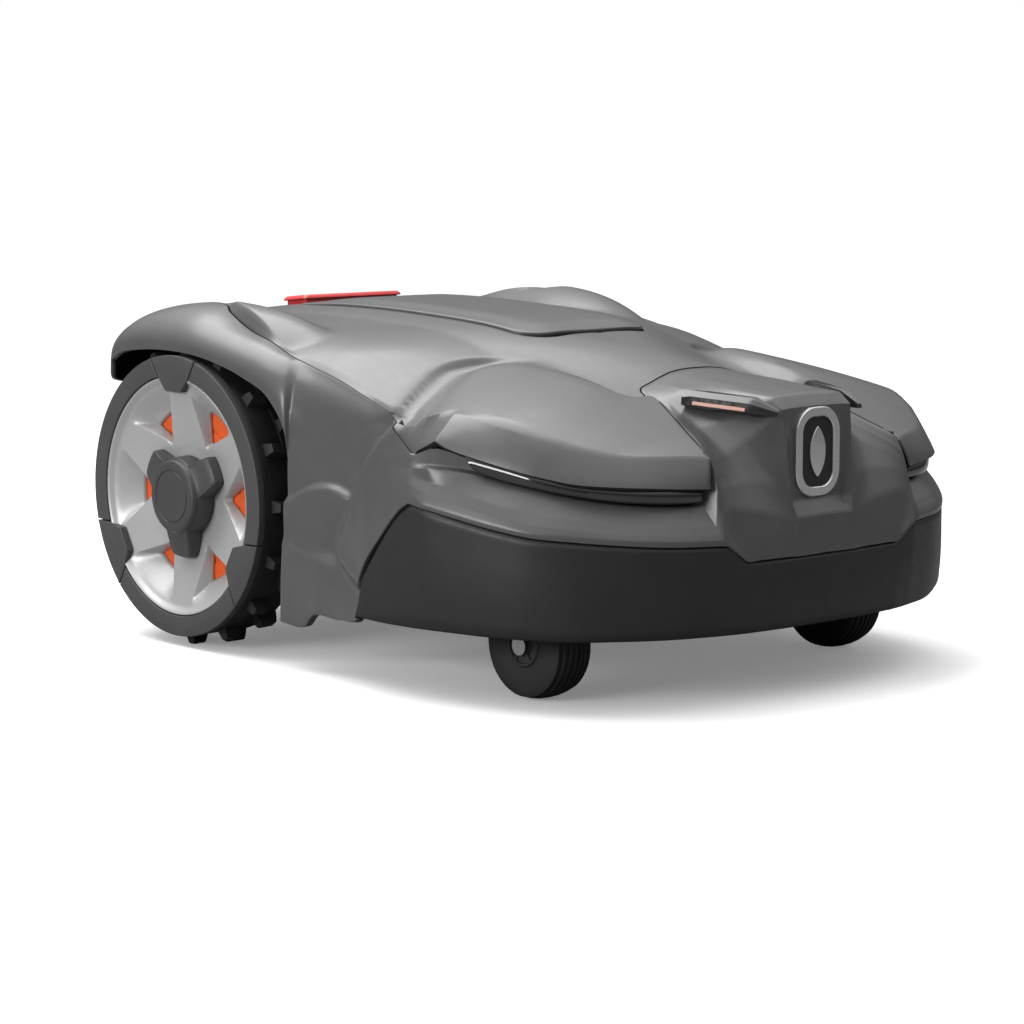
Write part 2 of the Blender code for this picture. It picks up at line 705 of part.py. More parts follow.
def window_rings(middle):
    """Rings of the cutter for one window of the rim, from behind its back to ahead of its face."""
    rings = []
    for corners, height in ((WINDOW_BACK, RIM_BACK - 4), (WINDOW_BACK, RIM_BACK), (WINDOW_FACE, RING_IN),
                            (WINDOW_FACE, WHEEL_OUT + 2)):
        left = [(r, middle - a) for r, a in corners]
        right = [(r, middle + a) for r, a in reversed(corners[:-1])]
        rings.append([(*polar(r, a), height) for r, a in left + right])
    return rings


def tab_rings(middle):
    """Rings of the cutter that lets one tab of the sidewall ring into the rim's raised border."""
    corners = [(RIM_R + 6, -13.2), (RIM_R, -13.2), (TAB_R - 0.6, -7.6), (TAB_R - 0.6, 7.6), (RIM_R, 13.2),
               (RIM_R + 6, 13.2)]
    return [[(*polar(r, middle + a), height) for r, a in corners] for height in (RING_IN - 0.4, WHEEL_OUT)]


def make_rim(side, look, add):
    """Rim: barrel, dished face with sloping windows, and a raised border broken by the three tabs."""
    centre = (AXLE_Y, WHEEL_R)
    profile = [(AXLE_R + 0.3, RIM_BACK), (BARREL_R - 3, RIM_BACK), (BARREL_R - 3, WHEEL_IN),
               (BARREL_R, WHEEL_IN),
               (BARREL_R, RING_IN - 0.4), (RIM_R - 0.1, RING_IN - 0.4), (RIM_R - 0.1, 212.6), (RIM_R - 1.5,
                                                                                               213),
               (81, 208.6), (44, 200), (33, 198), (AXLE_R + 0.3, 198)]
    rim = add("_wheel_rim", turned_mesh(profile, 48), look)
    for i in range(SPOKES):
        middle = 90 + 360 * (i + 0.5) / SPOKES
        combine(rim, cutter(to_side(loft_mesh("window", window_rings(middle)), side, centre)))
    for i in range(3):
        combine(rim, cutter(to_side(loft_mesh("tab", tab_rings(90 + 120 * i)), side, centre)))


def make_cap(add, look):
    """Hub cap: a lobed base with a round boss on it."""
    lobed = []
    for i in range(60):
        a = 2 * math.pi * i / 60 + math.pi / 2
        lobe = max(0.0, math.cos(3 * (a - math.pi / 6))) ** 0.8
        reach = CAP_R + (LOBE_R - CAP_R) * lobe
        lobed.append((reach * math.cos(a), reach * math.sin(a)))
    shoulder = [(x * 0.94, y * 0.94) for x, y in lobed]
    boss = ring_points(CAP_R - 1.0, 60, start=math.pi / 2)
    face = ring_points(CAP_R - 3.0, 60, start=math.pi / 2)
    rings = [[(x, y, height) for x, y in points] for points, height in
             ((lobed, CAP_BASE), (lobed, CAP_SHOULDER - 4), (shoulder, CAP_SHOULDER),
              (boss, CAP_SHOULDER + 2), (boss, CAP_FACE - 1.5), (face, CAP_FACE))]
    add("_hub_cap", loft_mesh("cap", rings), look)


def make_wheel(side, looks):
    """Drive wheel: tyre, rim, sidewall ring with three tabs, coloured disc, hub cap and axle."""
    word = SIDE_NAMES[side]
    centre = (AXLE_Y, WHEEL_R)
    origin = (side * WHEEL_OUT, AXLE_Y, WHEEL_R)

    def add(name, mesh, look):
        return object_of(word + name, to_side(mesh, side, centre), look, origin)

    tread = [gear_outline(TREAD_R, WHEEL_R, LUGS), ring_points(BARREL_R + 0.4, 40)]
    add("_drive_tyre", outline_mesh("tyre", tread, WHEEL_IN + 2, 203), looks["rubber"])
    make_rim(side, looks["silver"], add)
    inside = []
    for i in range(3):
        base = 90 + 120 * i
        inside.append(polar(TAB_R, base - 6.6))
        inside.append(polar(TAB_R, base + 6.6))
        for k in range(11):
            inside.append(polar(RIM_R + 0.3, base + 12 + 9.6 * k))
    ring = outline_mesh("ring", [ring_points(TREAD_R, 48), inside], RING_IN, WHEEL_OUT - 1)
    add("_sidewall_ring", ring, looks["ring"])
    rounds = [ring_points(BARREL_R - 4, 36), ring_points(AXLE_R + 0.5, 16)]
    add("_wheel_disc", outline_mesh("disc", rounds, RIM_BACK - 4, RIM_BACK - 0.6), looks["orange"])
    make_cap(add, looks["cap"])
    axle = outline_mesh("axle", [ring_points(AXLE_R, 16)], MOTOR_OUT + 0.6 - AXLE_DEPTH, CAP_BASE - 0.4)
    add("_wheel_axle", axle, looks["steel"])


def make_motor(side, look):
    """Geared drive motor with a blind bore for the axle."""
    word = SIDE_NAMES[side]
    profile = [(0, 70), (20, 70), (20, 112), (27, 112), (27, MOTOR_OUT), (AXLE_R + 0.4, MOTOR_OUT),
               (AXLE_R + 0.4, MOTOR_OUT - 24), (0, MOTOR_OUT - 24)]
    mesh = to_side(turned_mesh(profile, 24), side, (AXLE_Y, WHEEL_R))
    return smooth(object_of(word + "_drive_motor", mesh, look))


def make_caster(side, looks):
    """Swivelling front wheel: stem and one-sided fork, tyre, hub and axle pin."""
    word = SIDE_NAMES[side]
    x = side * CASTER_X
    stem_y = CASTER_Y - CASTER_TRAIL
    stem_at = (x, stem_y, 0)
    arm_in = CASTER_HALF + 1.2
    arm_out = arm_in + 5.5
    stem = turned_mesh([(0, 78), (15, 78), (17, 84), (17, 96), (STEM_R, 97), (STEM_R, 122), (0, 122)], 20)
    fork = object_of(word + "_caster_fork", stem, looks["plastic"])
    fork.data.transform(shift_of((x, stem_y, 0)))
    arm_x = sorted((x - side * arm_in, x - side * arm_out))
    profile = [(stem_y - 12, 92), (stem_y - 14, 78), (CASTER_Y - 8, 34), (CASTER_Y, 29), (CASTER_Y + 8, 34),
               (CASTER_Y + 9, 44), (stem_y + 18, 80), (stem_y + 12, 92)]
    arm = loft_mesh("arm", [[(px, y, z) for y, z in profile] for px in arm_x])
    combine(fork, cutter(arm), "UNION")
    roof_x = sorted((x - side * arm_out, x + side * 10))
    bridge = loft_mesh("bridge", [[(px, stem_y - 12, 80), (px, stem_y + 12, 80), (px, stem_y + 12, 91.5),
                                   (px, stem_y - 12, 91.5)] for px in roof_x])
    combine(fork, cutter(bridge), "UNION")
    bore = to_side(turned_mesh([(0, -40), (3.4, -40), (3.4, 40), (0, 40)], 12), 1, (CASTER_Y, CASTER_R))
    combine(fork, cutter(bore, (x, 0, 0)))
    set_origin(fork, stem_at)

    half = CASTER_HALF
    crown = [(15, -half + 1), (31, -half), (35.5, -half + 2.5), (CASTER_R, -6), (CASTER_R, 6),
             (35.5, half - 2.5),
             (31, half), (15, half - 1)]
    tyre = to_side(turned_mesh(crown, 28), 1, (CASTER_Y, CASTER_R))
    wheel = object_of(word + "_caster_tyre", tyre, looks["rubber"])
    wheel.data.transform(shift_of((x, 0, 0)))
    set_origin(wheel, (x, CASTER_Y, CASTER_R))

    hub_profile = [(3.6, -half + 0.5), (14.6, -half + 0.5), (14.6, half - 0.5), (3.6, half - 0.5)]
    hub = to_side(turned_mesh(hub_profile, 24), 1, (CASTER_Y, CASTER_R))
    middle = object_of(word + "_caster_hub", hub, looks["plastic"])
    middle.data.transform(shift_of((x, 0, 0)))
    set_origin(middle, (x, CASTER_Y, CASTER_R))

    pin_profile = [(0, -arm_out), (3.0, -arm_out), (3.0, half + 0.6), (6.5, half + 0.6), (6.5, half + 2.2),
                   (0, half + 2.2)]
    pin = to_side(turned_mesh(pin_profile, 16), side, (CASTER_Y, CASTER_R))
    shaft = object_of(word + "_caster_axle", pin, looks["steel"])
    shaft.data.transform(shift_of((x, 0, 0)))
    set_origin(shaft, (x, CASTER_Y, CASTER_R))


def set_origin(made, at):
    """Moves an object's origin to a point in millimetres and leaves its shape where it is."""
    made.data.transform(shift_of([-value for value in at]))
    made.location = place(*at)


# --- chassis ---------------------------------------------------------------------------------------

def make_lower_housing(look):
    """Tub that carries the motors, the casters and the battery: raised in front over the casters."""
    bm = bmesh.new()
    left = []
    for y, half, bottom in TUB:
        left.append([bm.verts.new(place(px, y, z)) for px, z in
                     ((-half, TUB_TOP), (-half, bottom + 6), (-half + 6, bottom), (half - 6, bottom),
                      (half, bottom + 6), (half, TUB_TOP))])
    for first, second in zip(left[:-1], left[1:]):
        for j in range(5):
            bm.faces.new((first[j], second[j], second[j + 1], first[j + 1]))
    bm.faces.new(left[0])
    bm.faces.new(list(reversed(left[-1])))
    bmesh.ops.recalc_face_normals(bm, faces=bm.faces)
    mesh = mesh_from(bm, "tub")
    made = object_of("lower_housing", mesh, look)
    wall = made.modifiers.new("Wall", "SOLIDIFY")
    wall.thickness = SHELL * MM
    wall.offset = -1
    combine(made, drum_cutter(CARRIER_R + 1.5, 60, 85, 0, CUT_Y, 32))
    for side in (1, -1):
        combine(made, drum_cutter(STEM_R + 1, 90, 112, side * CASTER_X, CASTER_Y - CASTER_TRAIL, 16))
        bore = to_side(turned_mesh([(0, 140), (28.0, 140), (28.0, 160), (0, 160)], 24), side,
                       (AXLE_Y, WHEEL_R))
        combine(made, cutter(bore))
    return made


def make_upper_housing(look):
    """Inner cover over the tub, humped in the middle for the battery, the board and the panel."""
    stations = [(-234, 98, 60, 155), (-214, 144, 90, 160), (-193, 162, 104, 170), (-140, 164, 108, 178),
                (-112, 150, 110, 186), (-40, 148, 112, 192), (190, 148, 112, 192), (213, 148, 108, 186),
                (228, 138, 100, 160)]
    bm = bmesh.new()
    rows = []
    for y, half, hump, top in stations:
        rows.append([bm.verts.new(place(px, y, z)) for px, z in
                     ((-half, TUB_TOP + 2.6), (-half, TUB_TOP + 6), (-hump - 3, TUB_TOP + 9),
                      (-hump + 4, top),
                      (hump - 4, top), (hump + 3, TUB_TOP + 9), (half, TUB_TOP + 6), (half, TUB_TOP + 2.6))])
    for first, second in zip(rows[:-1], rows[1:]):
        for j in range(7):
            bm.faces.new((first[j], first[j + 1], second[j + 1], second[j]))
    bm.faces.new(rows[0])
    bm.faces.new(list(reversed(rows[-1])))
    bmesh.ops.recalc_face_normals(bm, faces=bm.faces)
    made = object_of("upper_housing", mesh_from(bm, "hump"), look)
    wall = made.modifiers.new("Wall", "SOLIDIFY")
    wall.thickness = SHELL * MM
    wall.offset = -1
    return made


def make_seal(look):
    """Flat gasket between the two housings."""
    outer = [(-half, y) for y, half, _ in TUB] + [(half, y) for y, half, _ in reversed(TUB)]
    inner = [(-half + 3, y) for y, half, _ in TUB] + [(half - 3, y) for y, half, _ in reversed(TUB)]
    inner = [(x, max(min(y, TUB[-1][0] - 3), TUB[0][0] + 3)) for x, y in inner]
    return object_of("housing_seal", outline_mesh("seal", [outer, inner], TUB_TOP + 0.4, TUB_TOP + 2.2),
                     look)


def make_cutting_unit(looks):
    """Height carrier with its motor, the disc with three pivoting blades, and the skid plate below."""
    carrier = [(20.5, 52), (CARRIER_R, 52), (CARRIER_R, 118), (CARRIER_R - 3, 118), (CARRIER_R - 3, 55),
               (20.5, 55)]
    add_turned("height_carrier", carrier, looks["plastic"])
    motor = [(0, 48), (4, 48), (4, 52), (19.5, 52), (19.5, 56), (26, 56), (26, 108), (0, 108)]
    add_turned("cutting_motor", motor, looks["steel"])
    disc = [(0, BLADE_Z + 26), (12, BLADE_Z + 26), (14, BLADE_Z + 20), (50, BLADE_Z + 16),
            (DISC_R, BLADE_Z + 8),
            (DISC_R, BLADE_Z + 3), (60, BLADE_Z + 3), (46, BLADE_Z + 12), (8.5, BLADE_Z + 14), (0,
                                                                                                BLADE_Z + 14)]
    add_turned("cutting_disc", disc, looks["plastic"], 32)
    skid = [(0, BLADE_Z + 13.5), (8, BLADE_Z + 13.5), (10, BLADE_Z - 3), (44, BLADE_Z - 3),
            (52, BLADE_Z - 1.5), (52, BLADE_Z - 3.5), (44, BLADE_Z - 6), (0, BLADE_Z - 6)]
    add_turned("skid_plate", skid, looks["steel"], 32)
    for i in range(BLADES):
        a = 2 * math.pi * i / BLADES - math.pi / 2
        outline = [(-5, -8), (5, -8), (8, -4), (8, 31), (0, 33), (-8, 31), (-8, -4)]
        mesh = outline_mesh("blade", [outline], BLADE_Z, BLADE_Z + 1.2)
        stud = turned_mesh([(0, BLADE_Z + 1), (3, BLADE_Z + 1), (3, BLADE_Z + 2.7), (0, BLADE_Z + 2.7)], 12)
        made = object_of(f"blade_{i + 1}", mesh, looks["steel"])
        combine(made, cutter_at(stud, blade_pivot(i), a), "UNION")
        made.location = place(*blade_pivot(i))
        made.rotation_euler = (0, 0, a - math.pi / 2)


def cutter_at(mesh, at, turn):
    made = cutter(mesh, at)
    made.rotation_euler = (0, 0, turn)
    return made


def blade_pivot(i):
    a = 2 * math.pi * i / BLADES - math.pi / 2
    return (BLADE_RING * math.cos(a), CUT_Y + BLADE_RING * math.sin(a), 0)


def add_turned(name, profile, look, steps=28):
    made = object_of(name, turned_mesh(profile, steps), look)
    made.location = place(0, CUT_Y, 0)
    return smooth(made)


def make_inner_parts(looks):
    box("battery_pack", (-62, 70, 78), (62, 190, 132), looks["battery"], bevel=3)
    box("battery_cover", (-58, 74, 68.2), (58, 186, 71.6), looks["plastic"], bevel=1)
    box("circuit_board", (-70, 60, 150), (70, 190, 152), looks["board"])
    panel = box("control_panel", (-50, -28, 192.6), (50, 120, 206), looks["panel"], bevel=2)
    combine(panel, block_cutter((-32, 40, 203.5), (32, 92, 215)))
    box("display_window", (-31.4, 40.6, 203.9), (31.4, 91.4, 206.4), looks["lens"])
    knob = [(0, 206.6), (17, 206.6), (17, 215), (15, 217), (0, 217)]
    dial = object_of("jog_dial", turned_mesh(knob, 28), looks["cap"])
    dial.location = place(0, 8, 0)
    smooth(dial)
    for side in (1, -1):
        word = SIDE_NAMES[side]
        xs = sorted((side * 70, side * 96))
        box(word + "_charging_contact", (xs[0], -239.6, 108), (xs[1], -236.6, 122), looks["steel"])
        for place_word, (x, y) in zip(("front", "rear"), POSTS):
            base = TUB_TOP + 9.8
            top = roof(x, y) - 10
            profile = [(0, base + 0.5), (11, base + 0.5), (8, base + 8), (7, top - 6), (10, top - 2),
                       (10, top),
                       (0, top)]
            post = object_of(f"{word}_{place_word}_cover_post", turned_mesh(profile, 16), looks["rubber"])
            post.location = place(side * x, y, 0)
            smooth(post)


# --- build -------------------------------------------------------------------------------------------


def main():
    grey = material("body_grey", (0.12, 0.12, 0.12), 0.42)
    looks = {
        "bumper": material("bumper_plastic", (0.02, 0.02, 0.02), 0.45),
        "rubber": material("black_rubber", (0.012, 0.012, 0.012), 0.75),
        "ring": material("sidewall_grey", (0.075, 0.075, 0.075), 0.5),
        "silver": material("silver_plastic", (0.55, 0.55, 0.55), 0.35, 0.3),
        "orange": material("orange_plastic", (0.75, 0.11, 0.02), 0.45),
        "cap": material("cap_grey", (0.07, 0.07, 0.07), 0.45),
        "steel": material("steel", (0.45, 0.45, 0.45), 0.35, 1.0),
        "plastic": material("chassis_plastic", (0.03, 0.03, 0.03), 0.5),
        "battery": material("battery_case", (0.05, 0.05, 0.06), 0.5),
        "board": material("board_green", (0.02, 0.12, 0.04), 0.5),
        "panel": material("panel_plastic", (0.05, 0.05, 0.05), 0.4),
        "lens": material("dark_lens", (0.02, 0.02, 0.02), 0.08),
        "amber": material("amber_light", (0.7, 0.16, 0.03), 0.3),
        "red": material("stop_red", (0.62, 0.03, 0.03), 0.4),
        "badge": material("badge_aluminium", (0.6, 0.6, 0.6), 0.35, 1.0),
    }
    body = make_body_shell(grey)
    cover = make_top_cover(grey)
    combine(cover, button_opening())
    make_bumper(looks["bumper"])
    make_hatch(grey)
    make_stop_button(looks["red"])
    make_emblem(looks["badge"])
    for side in (-1, 1):
        make_lens(side, looks["lens"])
        make_indicator(side, looks["lens"], looks["amber"])
        rings = [sided(indicator_ring(at, INDICATOR_SEAT), side) for at in INDICATOR_LINE]
        combine(body, cutter(loft_mesh("seat", rings)))
        make_wheel(side, looks)
        make_motor(side, looks["steel"])
        make_caster(side, looks)
    make_lower_housing(looks["plastic"])
    make_upper_housing(looks["plastic"])
    make_seal(looks["rubber"])
    make_cutting_unit(looks)
    make_inner_parts(looks)


main()
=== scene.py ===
import math

import bmesh
import bpy
import numpy as np
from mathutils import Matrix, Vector


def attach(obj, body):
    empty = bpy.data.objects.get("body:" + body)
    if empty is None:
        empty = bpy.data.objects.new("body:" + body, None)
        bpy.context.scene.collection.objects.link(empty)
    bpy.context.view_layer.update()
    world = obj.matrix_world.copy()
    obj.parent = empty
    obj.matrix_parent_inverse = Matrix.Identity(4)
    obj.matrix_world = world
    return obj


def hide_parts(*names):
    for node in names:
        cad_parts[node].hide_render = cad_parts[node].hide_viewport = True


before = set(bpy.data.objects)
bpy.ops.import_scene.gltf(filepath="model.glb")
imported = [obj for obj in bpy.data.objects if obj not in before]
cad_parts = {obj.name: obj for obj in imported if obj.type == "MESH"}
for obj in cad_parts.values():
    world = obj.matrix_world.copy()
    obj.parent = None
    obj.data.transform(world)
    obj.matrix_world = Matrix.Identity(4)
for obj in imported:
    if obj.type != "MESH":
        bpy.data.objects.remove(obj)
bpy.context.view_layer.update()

# Looks of the robotic lawn mower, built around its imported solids. It drives towards -Y, +Z is up, and
# +X is its left side. Lengths are in millimetres and become metres where a mesh is made.

MM = 0.001
WELD = 0.02
SIDES = {-1: "right", 1: "left"}
HALF_SEAM = 0.5
EDGE_IN = 1.1  # from the seam's line to the edge of the top cover

# ---- Curves and surfaces


def curve(points, t):
    """Smooth value at t through (position, value) pairs."""
    knots, values = np.array(points, float).T
    t = np.asarray(t, float)
    slopes = np.gradient(values, knots)
    i = np.clip(np.searchsorted(knots, t) - 1, 0, len(knots) - 2)
    span = knots[i + 1] - knots[i]
    u = np.clip((t - knots[i]) / span, 0, 1)
    start = (2 * u**3 - 3 * u**2 + 1) * values[i] + (u**3 - 2 * u**2 + u) * span * slopes[i]
    return start + (3 * u**2 - 2 * u**3) * values[i + 1] + (u**3 - u**2) * span * slopes[i + 1]


def step(t):
    """Smooth step from 0 to 1."""
    t = np.clip(t, 0, 1)
    return t * t * (3 - 2 * t)


def soft_max(a, b, radius):
    """The larger of two heights, blended where they are close."""
    h = np.clip(0.5 + 0.5 * (a - b) / radius, 0, 1)
    return b + (a - b) * h + radius * h * (1 - h)


def chords(values):
    """Positions along the first axis of a net, from the mean distance between its lines."""
    gaps = np.linalg.norm(np.diff(values, axis=0), axis=-1)
    if gaps.ndim > 1:
        gaps = gaps.mean(axis=tuple(range(1, gaps.ndim)))
    return np.concatenate([[0], np.cumsum(np.maximum(gaps, 1e-3))])


def through(values, counts, sharp=()):
    """Values between the lines of a net along its first axis: counts[i] steps in interval i."""
    values = np.asarray(values, float)
    knots = chords(values)
    span = np.diff(knots)
    shape = (-1,) + (1,) * (values.ndim - 1)
    rise = np.diff(values, axis=0) / span.reshape(shape)
    before, after = np.empty_like(values), np.empty_like(values)
    before[0] = after[0] = rise[0]
    before[-1] = after[-1] = rise[-1]
    for i in range(1, len(values) - 1):
        if i in sharp:
            before[i], after[i] = rise[i - 1], rise[i]
        else:
            share = span[i - 1] / (span[i - 1] + span[i])
            before[i] = after[i] = rise[i - 1] * (1 - share) + rise[i] * share
    made = []
    for i, count in enumerate(counts):
        u = (np.arange(count) / count).reshape(shape)
        made.append((2 * u**3 - 3 * u**2 + 1) * values[i] + (u**3 - 2 * u**2 + u) * span[i] * after[i]
                    + (3 * u**2 - 2 * u**3) * values[i + 1] + (u**3 - u**2) * span[i] * before[i + 1])
    made.append(values[-1:])
    return np.concatenate(made)


def surface(net, columns, rows, sharp_columns=(), sharp_rows=()):
    """Fine grid through a net of points (column, row, xyz)."""
    fine = through(net, columns, sharp_columns)
    return through(fine.swapaxes(0, 1), rows, sharp_rows).swapaxes(0, 1)


def counts_for(net, length):
    """Steps of about this length in each interval along the first axis."""
    gaps = np.linalg.norm(np.diff(np.asarray(net, float), axis=0), axis=-1).max(axis=-1)
    return [max(1, int(round(gap / length))) for gap in gaps]


def relax(grid, times):
    """Evens out a grid a little, which rounds its creases. Its edges stay where they are."""
    for _ in range(times):
        new = grid.copy()
        new[1:-1, 1:-1] = 0.5 * grid[1:-1, 1:-1] + 0.125 * (
            grid[:-2, 1:-1] + grid[2:, 1:-1] + grid[1:-1, :-2] + grid[1:-1, 2:])
        grid = new
    return grid


def resample(points, count):
    """Points at equal steps along a polyline."""
    line = np.array(points, float)
    lengths = np.concatenate([[0], np.cumsum(np.linalg.norm(np.diff(line, axis=0), axis=1))])
    at = np.linspace(0, lengths[-1], count)
    return np.stack([np.interp(at, lengths, line[:, k]) for k in range(line.shape[1])], axis=1)


def spline(points, count=12):
    """Smooth polyline through points."""
    return through(np.array(points, float), [count] * (len(points) - 1))


def signed_distance(x, y, line):
    """Distance of points from a plan polyline, positive on its left."""
    best = np.full(np.shape(x), 1e9)
    side = np.ones(np.shape(x))
    for start, end in zip(line[:-1], line[1:]):
        along = end - start
        dx, dy = x - start[0], y - start[1]
        u = np.clip((dx * along[0] + dy * along[1]) / (along @ along), 0, 1)
        away = np.hypot(dx - u * along[0], dy - u * along[1])
        sign = np.where(along[0] * dy - along[1] * dx >= 0, 1.0, -1.0)
        closer = away < best
        best = np.where(closer, away, best)
        side = np.where(closer, sign, side)
    return best * side


# ---- Materials


def add_node(tree, kind, **sockets):
    """Node with constants on the sockets that are named, with _ for a space."""
    node = tree.nodes.new(kind)
    for name, value in sockets.items():
        node.inputs[name.replace("_", " ")].default_value = value
    return node


class Nodes:
    """Short way to build a node material."""

    def __init__(self, name):
        self.material = bpy.data.materials.new(name)
        self.material.use_nodes = True
        self.tree = self.material.node_tree
        self.shader = self.tree.nodes["Principled BSDF"]
        self.place = self.add("ShaderNodeTexCoord").outputs["Object"]

    def add(self, kind, **sockets):
        return add_node(self.tree, kind, **sockets)

    def link(self, source, target):
        self.tree.links.new(source, target)

    def color(self, source, first, second):
        """Base colour between two colours, by a texture."""
        self.link(self.mix(self.ramp(source, 0, 1), first, second), self.shader.inputs["Base Color"])

    def rough(self, source, low, high):
        """Roughness between two values, by a texture."""
        self.link(self.ramp(source, low, high), self.shader.inputs["Roughness"])

    def noise(self, scale, detail=3.0, rough=0.5, stretch=None):
        node = self.add("ShaderNodeTexNoise", Scale=scale, Detail=detail, Roughness=rough)
        source = self.place
        if stretch:
            mapping = self.add("ShaderNodeMapping", Scale=stretch)
            self.link(source, mapping.inputs["Vector"])
            source = mapping.outputs["Vector"]
        self.link(source, node.inputs["Vector"])
        return node.outputs["Fac"]

    def ramp(self, source, low, high, bottom=0.3, top=0.7):
        node = self.add("ShaderNodeMapRange", From_Min=bottom, From_Max=top, To_Min=low, To_Max=high)
        self.link(source, node.inputs["Value"])
        return node.outputs["Result"]

    def mix(self, factor, first, second):
        node = self.add("ShaderNodeMix")
        node.data_type = "RGBA"
        self.link(factor, node.inputs["Factor"])
        node.inputs["A"].default_value = (*first, 1)
        node.inputs["B"].default_value = (*second, 1)
        return node.outputs["Result"]

    def bump(self, layers):
        """Bumps one on another: (height socket, strength, distance in metres)."""
        last = None
        for height, strength, distance in layers:
            node = self.add("ShaderNodeBump", Strength=strength, Distance=distance)
            self.link(height, node.inputs["Height"])
            if last is not None:
                self.link(last, node.inputs["Normal"])
            last = node.outputs["Normal"]
        self.link(last, self.shader.inputs["Normal"])

    def set(self, **values):
        for key, value in values.items():
            self.shader.inputs[key.replace("_", " ")].default_value = value


def scaled(color, factor, plus=0.0):
    """Colour made brighter or darker."""
    return tuple(c * factor + plus for c in color)


def moulded(name, color, rough, grain=0.12, contrast=0.1, grain_scale=1400, coat=0.0):
    """Moulded plastic: fine spark-eroded grain, slow waviness and a little dust in its colour."""
    made = Nodes(name)
    fine = made.noise(grain_scale, 2, 0.55)
    made.color(made.noise(38, 5, 0.6), scaled(color, 1 - contrast), scaled(color, 1 + contrast))
    made.rough(made.noise(160, 4, 0.6), rough - 0.045, rough + 0.045)
    made.bump([(made.noise(14, 2), 0.06, 0.0006), (fine, grain, 0.00012)])
    made.set(IOR=1.46, Coat_Weight=coat, Coat_Roughness=0.25)
    return made.material


def rubber(name, color, rough=0.72):
    """Matt rubber with a dull bloom and small mould pits."""
    made = Nodes(name)
    bloom = made.noise(55, 6, 0.65)
    made.color(bloom, color, scaled(color, 1.7, 0.004))
    made.rough(bloom, rough - 0.08, rough + 0.1)
    made.bump([(made.noise(420, 5, 0.7), 0.22, 0.0003), (made.noise(2200, 2), 0.12, 0.0001)])
    return made.material


def brushed(name, color, rough, direction, scratch=0.15):
    """Metal with fine lines drawn along one axis."""
    made = Nodes(name)
    lines = made.noise(1.0, 4, 0.7, stretch=direction)
    made.color(lines, scaled(color, 0.82), color)
    made.rough(lines, rough - 0.08, rough + 0.1)
    made.bump([(lines, scratch, 0.00012)])
    made.set(Metallic=1.0)
    return made.material


def silver_paint(name):
    """Silver lacquer on plastic: small bright flakes under a satin coat."""
    made = Nodes(name)
    flakes = made.add("ShaderNodeTexVoronoi", Scale=2600)
    made.link(made.place, flakes.inputs["Vector"])
    spread = made.ramp(flakes.outputs["Distance"], 0, 1, 0.1, 0.9)
    made.link(made.mix(spread, (0.5, 0.5, 0.5), (0.4, 0.4, 0.4)), made.shader.inputs["Base Color"])
    made.rough(made.noise(90, 3), 0.33, 0.42)
    made.bump([(flakes.outputs["Distance"], 0.05, 0.0001), (made.noise(900, 2), 0.06, 0.0001)])
    made.set(Metallic=0.35, Coat_Weight=0.15, Coat_Roughness=0.3)
    return made.material


def glossy(name, color, rough, contrast=0.25):
    """Polished plastic with faint flow lines and wiped dust."""
    made = Nodes(name)
    made.color(made.noise(1.0, 3, 0.5, stretch=(60, 60, 240)), scaled(color, 1 - contrast), color)
    made.rough(made.noise(240, 4), rough, rough + 0.09)
    made.bump([(made.noise(30, 2), 0.05, 0.0004), (made.noise(1500, 2), 0.03, 0.0001)])
    made.set(IOR=1.5, Coat_Weight=0.6, Coat_Roughness=0.06)
    return made.material


def board_material(name):
    """Green circuit board with pale tracks."""
    made = Nodes(name)
    tracks = made.add("ShaderNodeTexBrick", Scale=60, Mortar_Size=0.03, Color1=(0.012, 0.11, 0.035, 1),
                      Color2=(0.016, 0.15, 0.05, 1), Mortar=(0.25, 0.3, 0.12, 1))
    made.link(made.place, tracks.inputs["Vector"])
    made.link(tracks.outputs["Color"], made.shader.inputs["Base Color"])
    made.rough(made.noise(300), 0.3, 0.45)
    made.bump([(tracks.outputs["Fac"], 0.2, 0.0002)])
    return made.material


LOOKS = {
    "body": moulded("body_satin", (0.074, 0.074, 0.075), 0.36, 0.10, 0.05, coat=0.25),
    # dark is painted shade in seams, behind the bumper and inside shells, and the badge's black field
    "dark": moulded("painted_gap_shade_and_black_field", (0.012, 0.012, 0.012), 0.6, 0.2, 0.15),
    "bumper": moulded("bumper_plastic", (0.013, 0.013, 0.014), 0.46, 0.22, 0.1, 1100),
    "chassis": moulded("chassis_plastic", (0.028, 0.028, 0.029), 0.52, 0.3, 0.15, 900),
    "ring": moulded("sidewall_plastic", (0.055, 0.055, 0.057), 0.48, 0.2, 0.06, 1200),
    "cap": moulded("cap_plastic", (0.046, 0.046, 0.048), 0.44, 0.18, 0.06, 1200),
    "orange": moulded("orange_plastic", (0.72, 0.1, 0.012), 0.45, 0.15, 0.06),
    "red": moulded("stop_red", (0.52, 0.022, 0.024), 0.34, 0.1, 0.06, coat=0.3),
    "deep_red": moulded("stop_red_dark", (0.2, 0.01, 0.012), 0.45, 0.2, 0.1),
    "battery": moulded("battery_case", (0.045, 0.046, 0.055), 0.5, 0.25, 0.1),
    "panel": moulded("panel_plastic", (0.05, 0.05, 0.052), 0.42, 0.2, 0.08),
    "rubber": rubber("black_rubber", (0.012, 0.012, 0.012)),
    "tread": rubber("tread_rubber", (0.009, 0.009, 0.009), 0.66),
    "silver": silver_paint("silver_lacquer"),
    "badge": brushed("badge_aluminium", (0.72, 0.72, 0.71), 0.34, (90, 90, 2600), 0.1),
    "steel": brushed("brushed_steel", (0.5, 0.5, 0.5), 0.34, (1400, 60, 1400)),
    "lens": glossy("smoked_lens", (0.02, 0.02, 0.021), 0.08),
    "amber": glossy("amber_light", (0.36, 0.075, 0.015), 0.3),
    "board": board_material("circuit_board"),
}

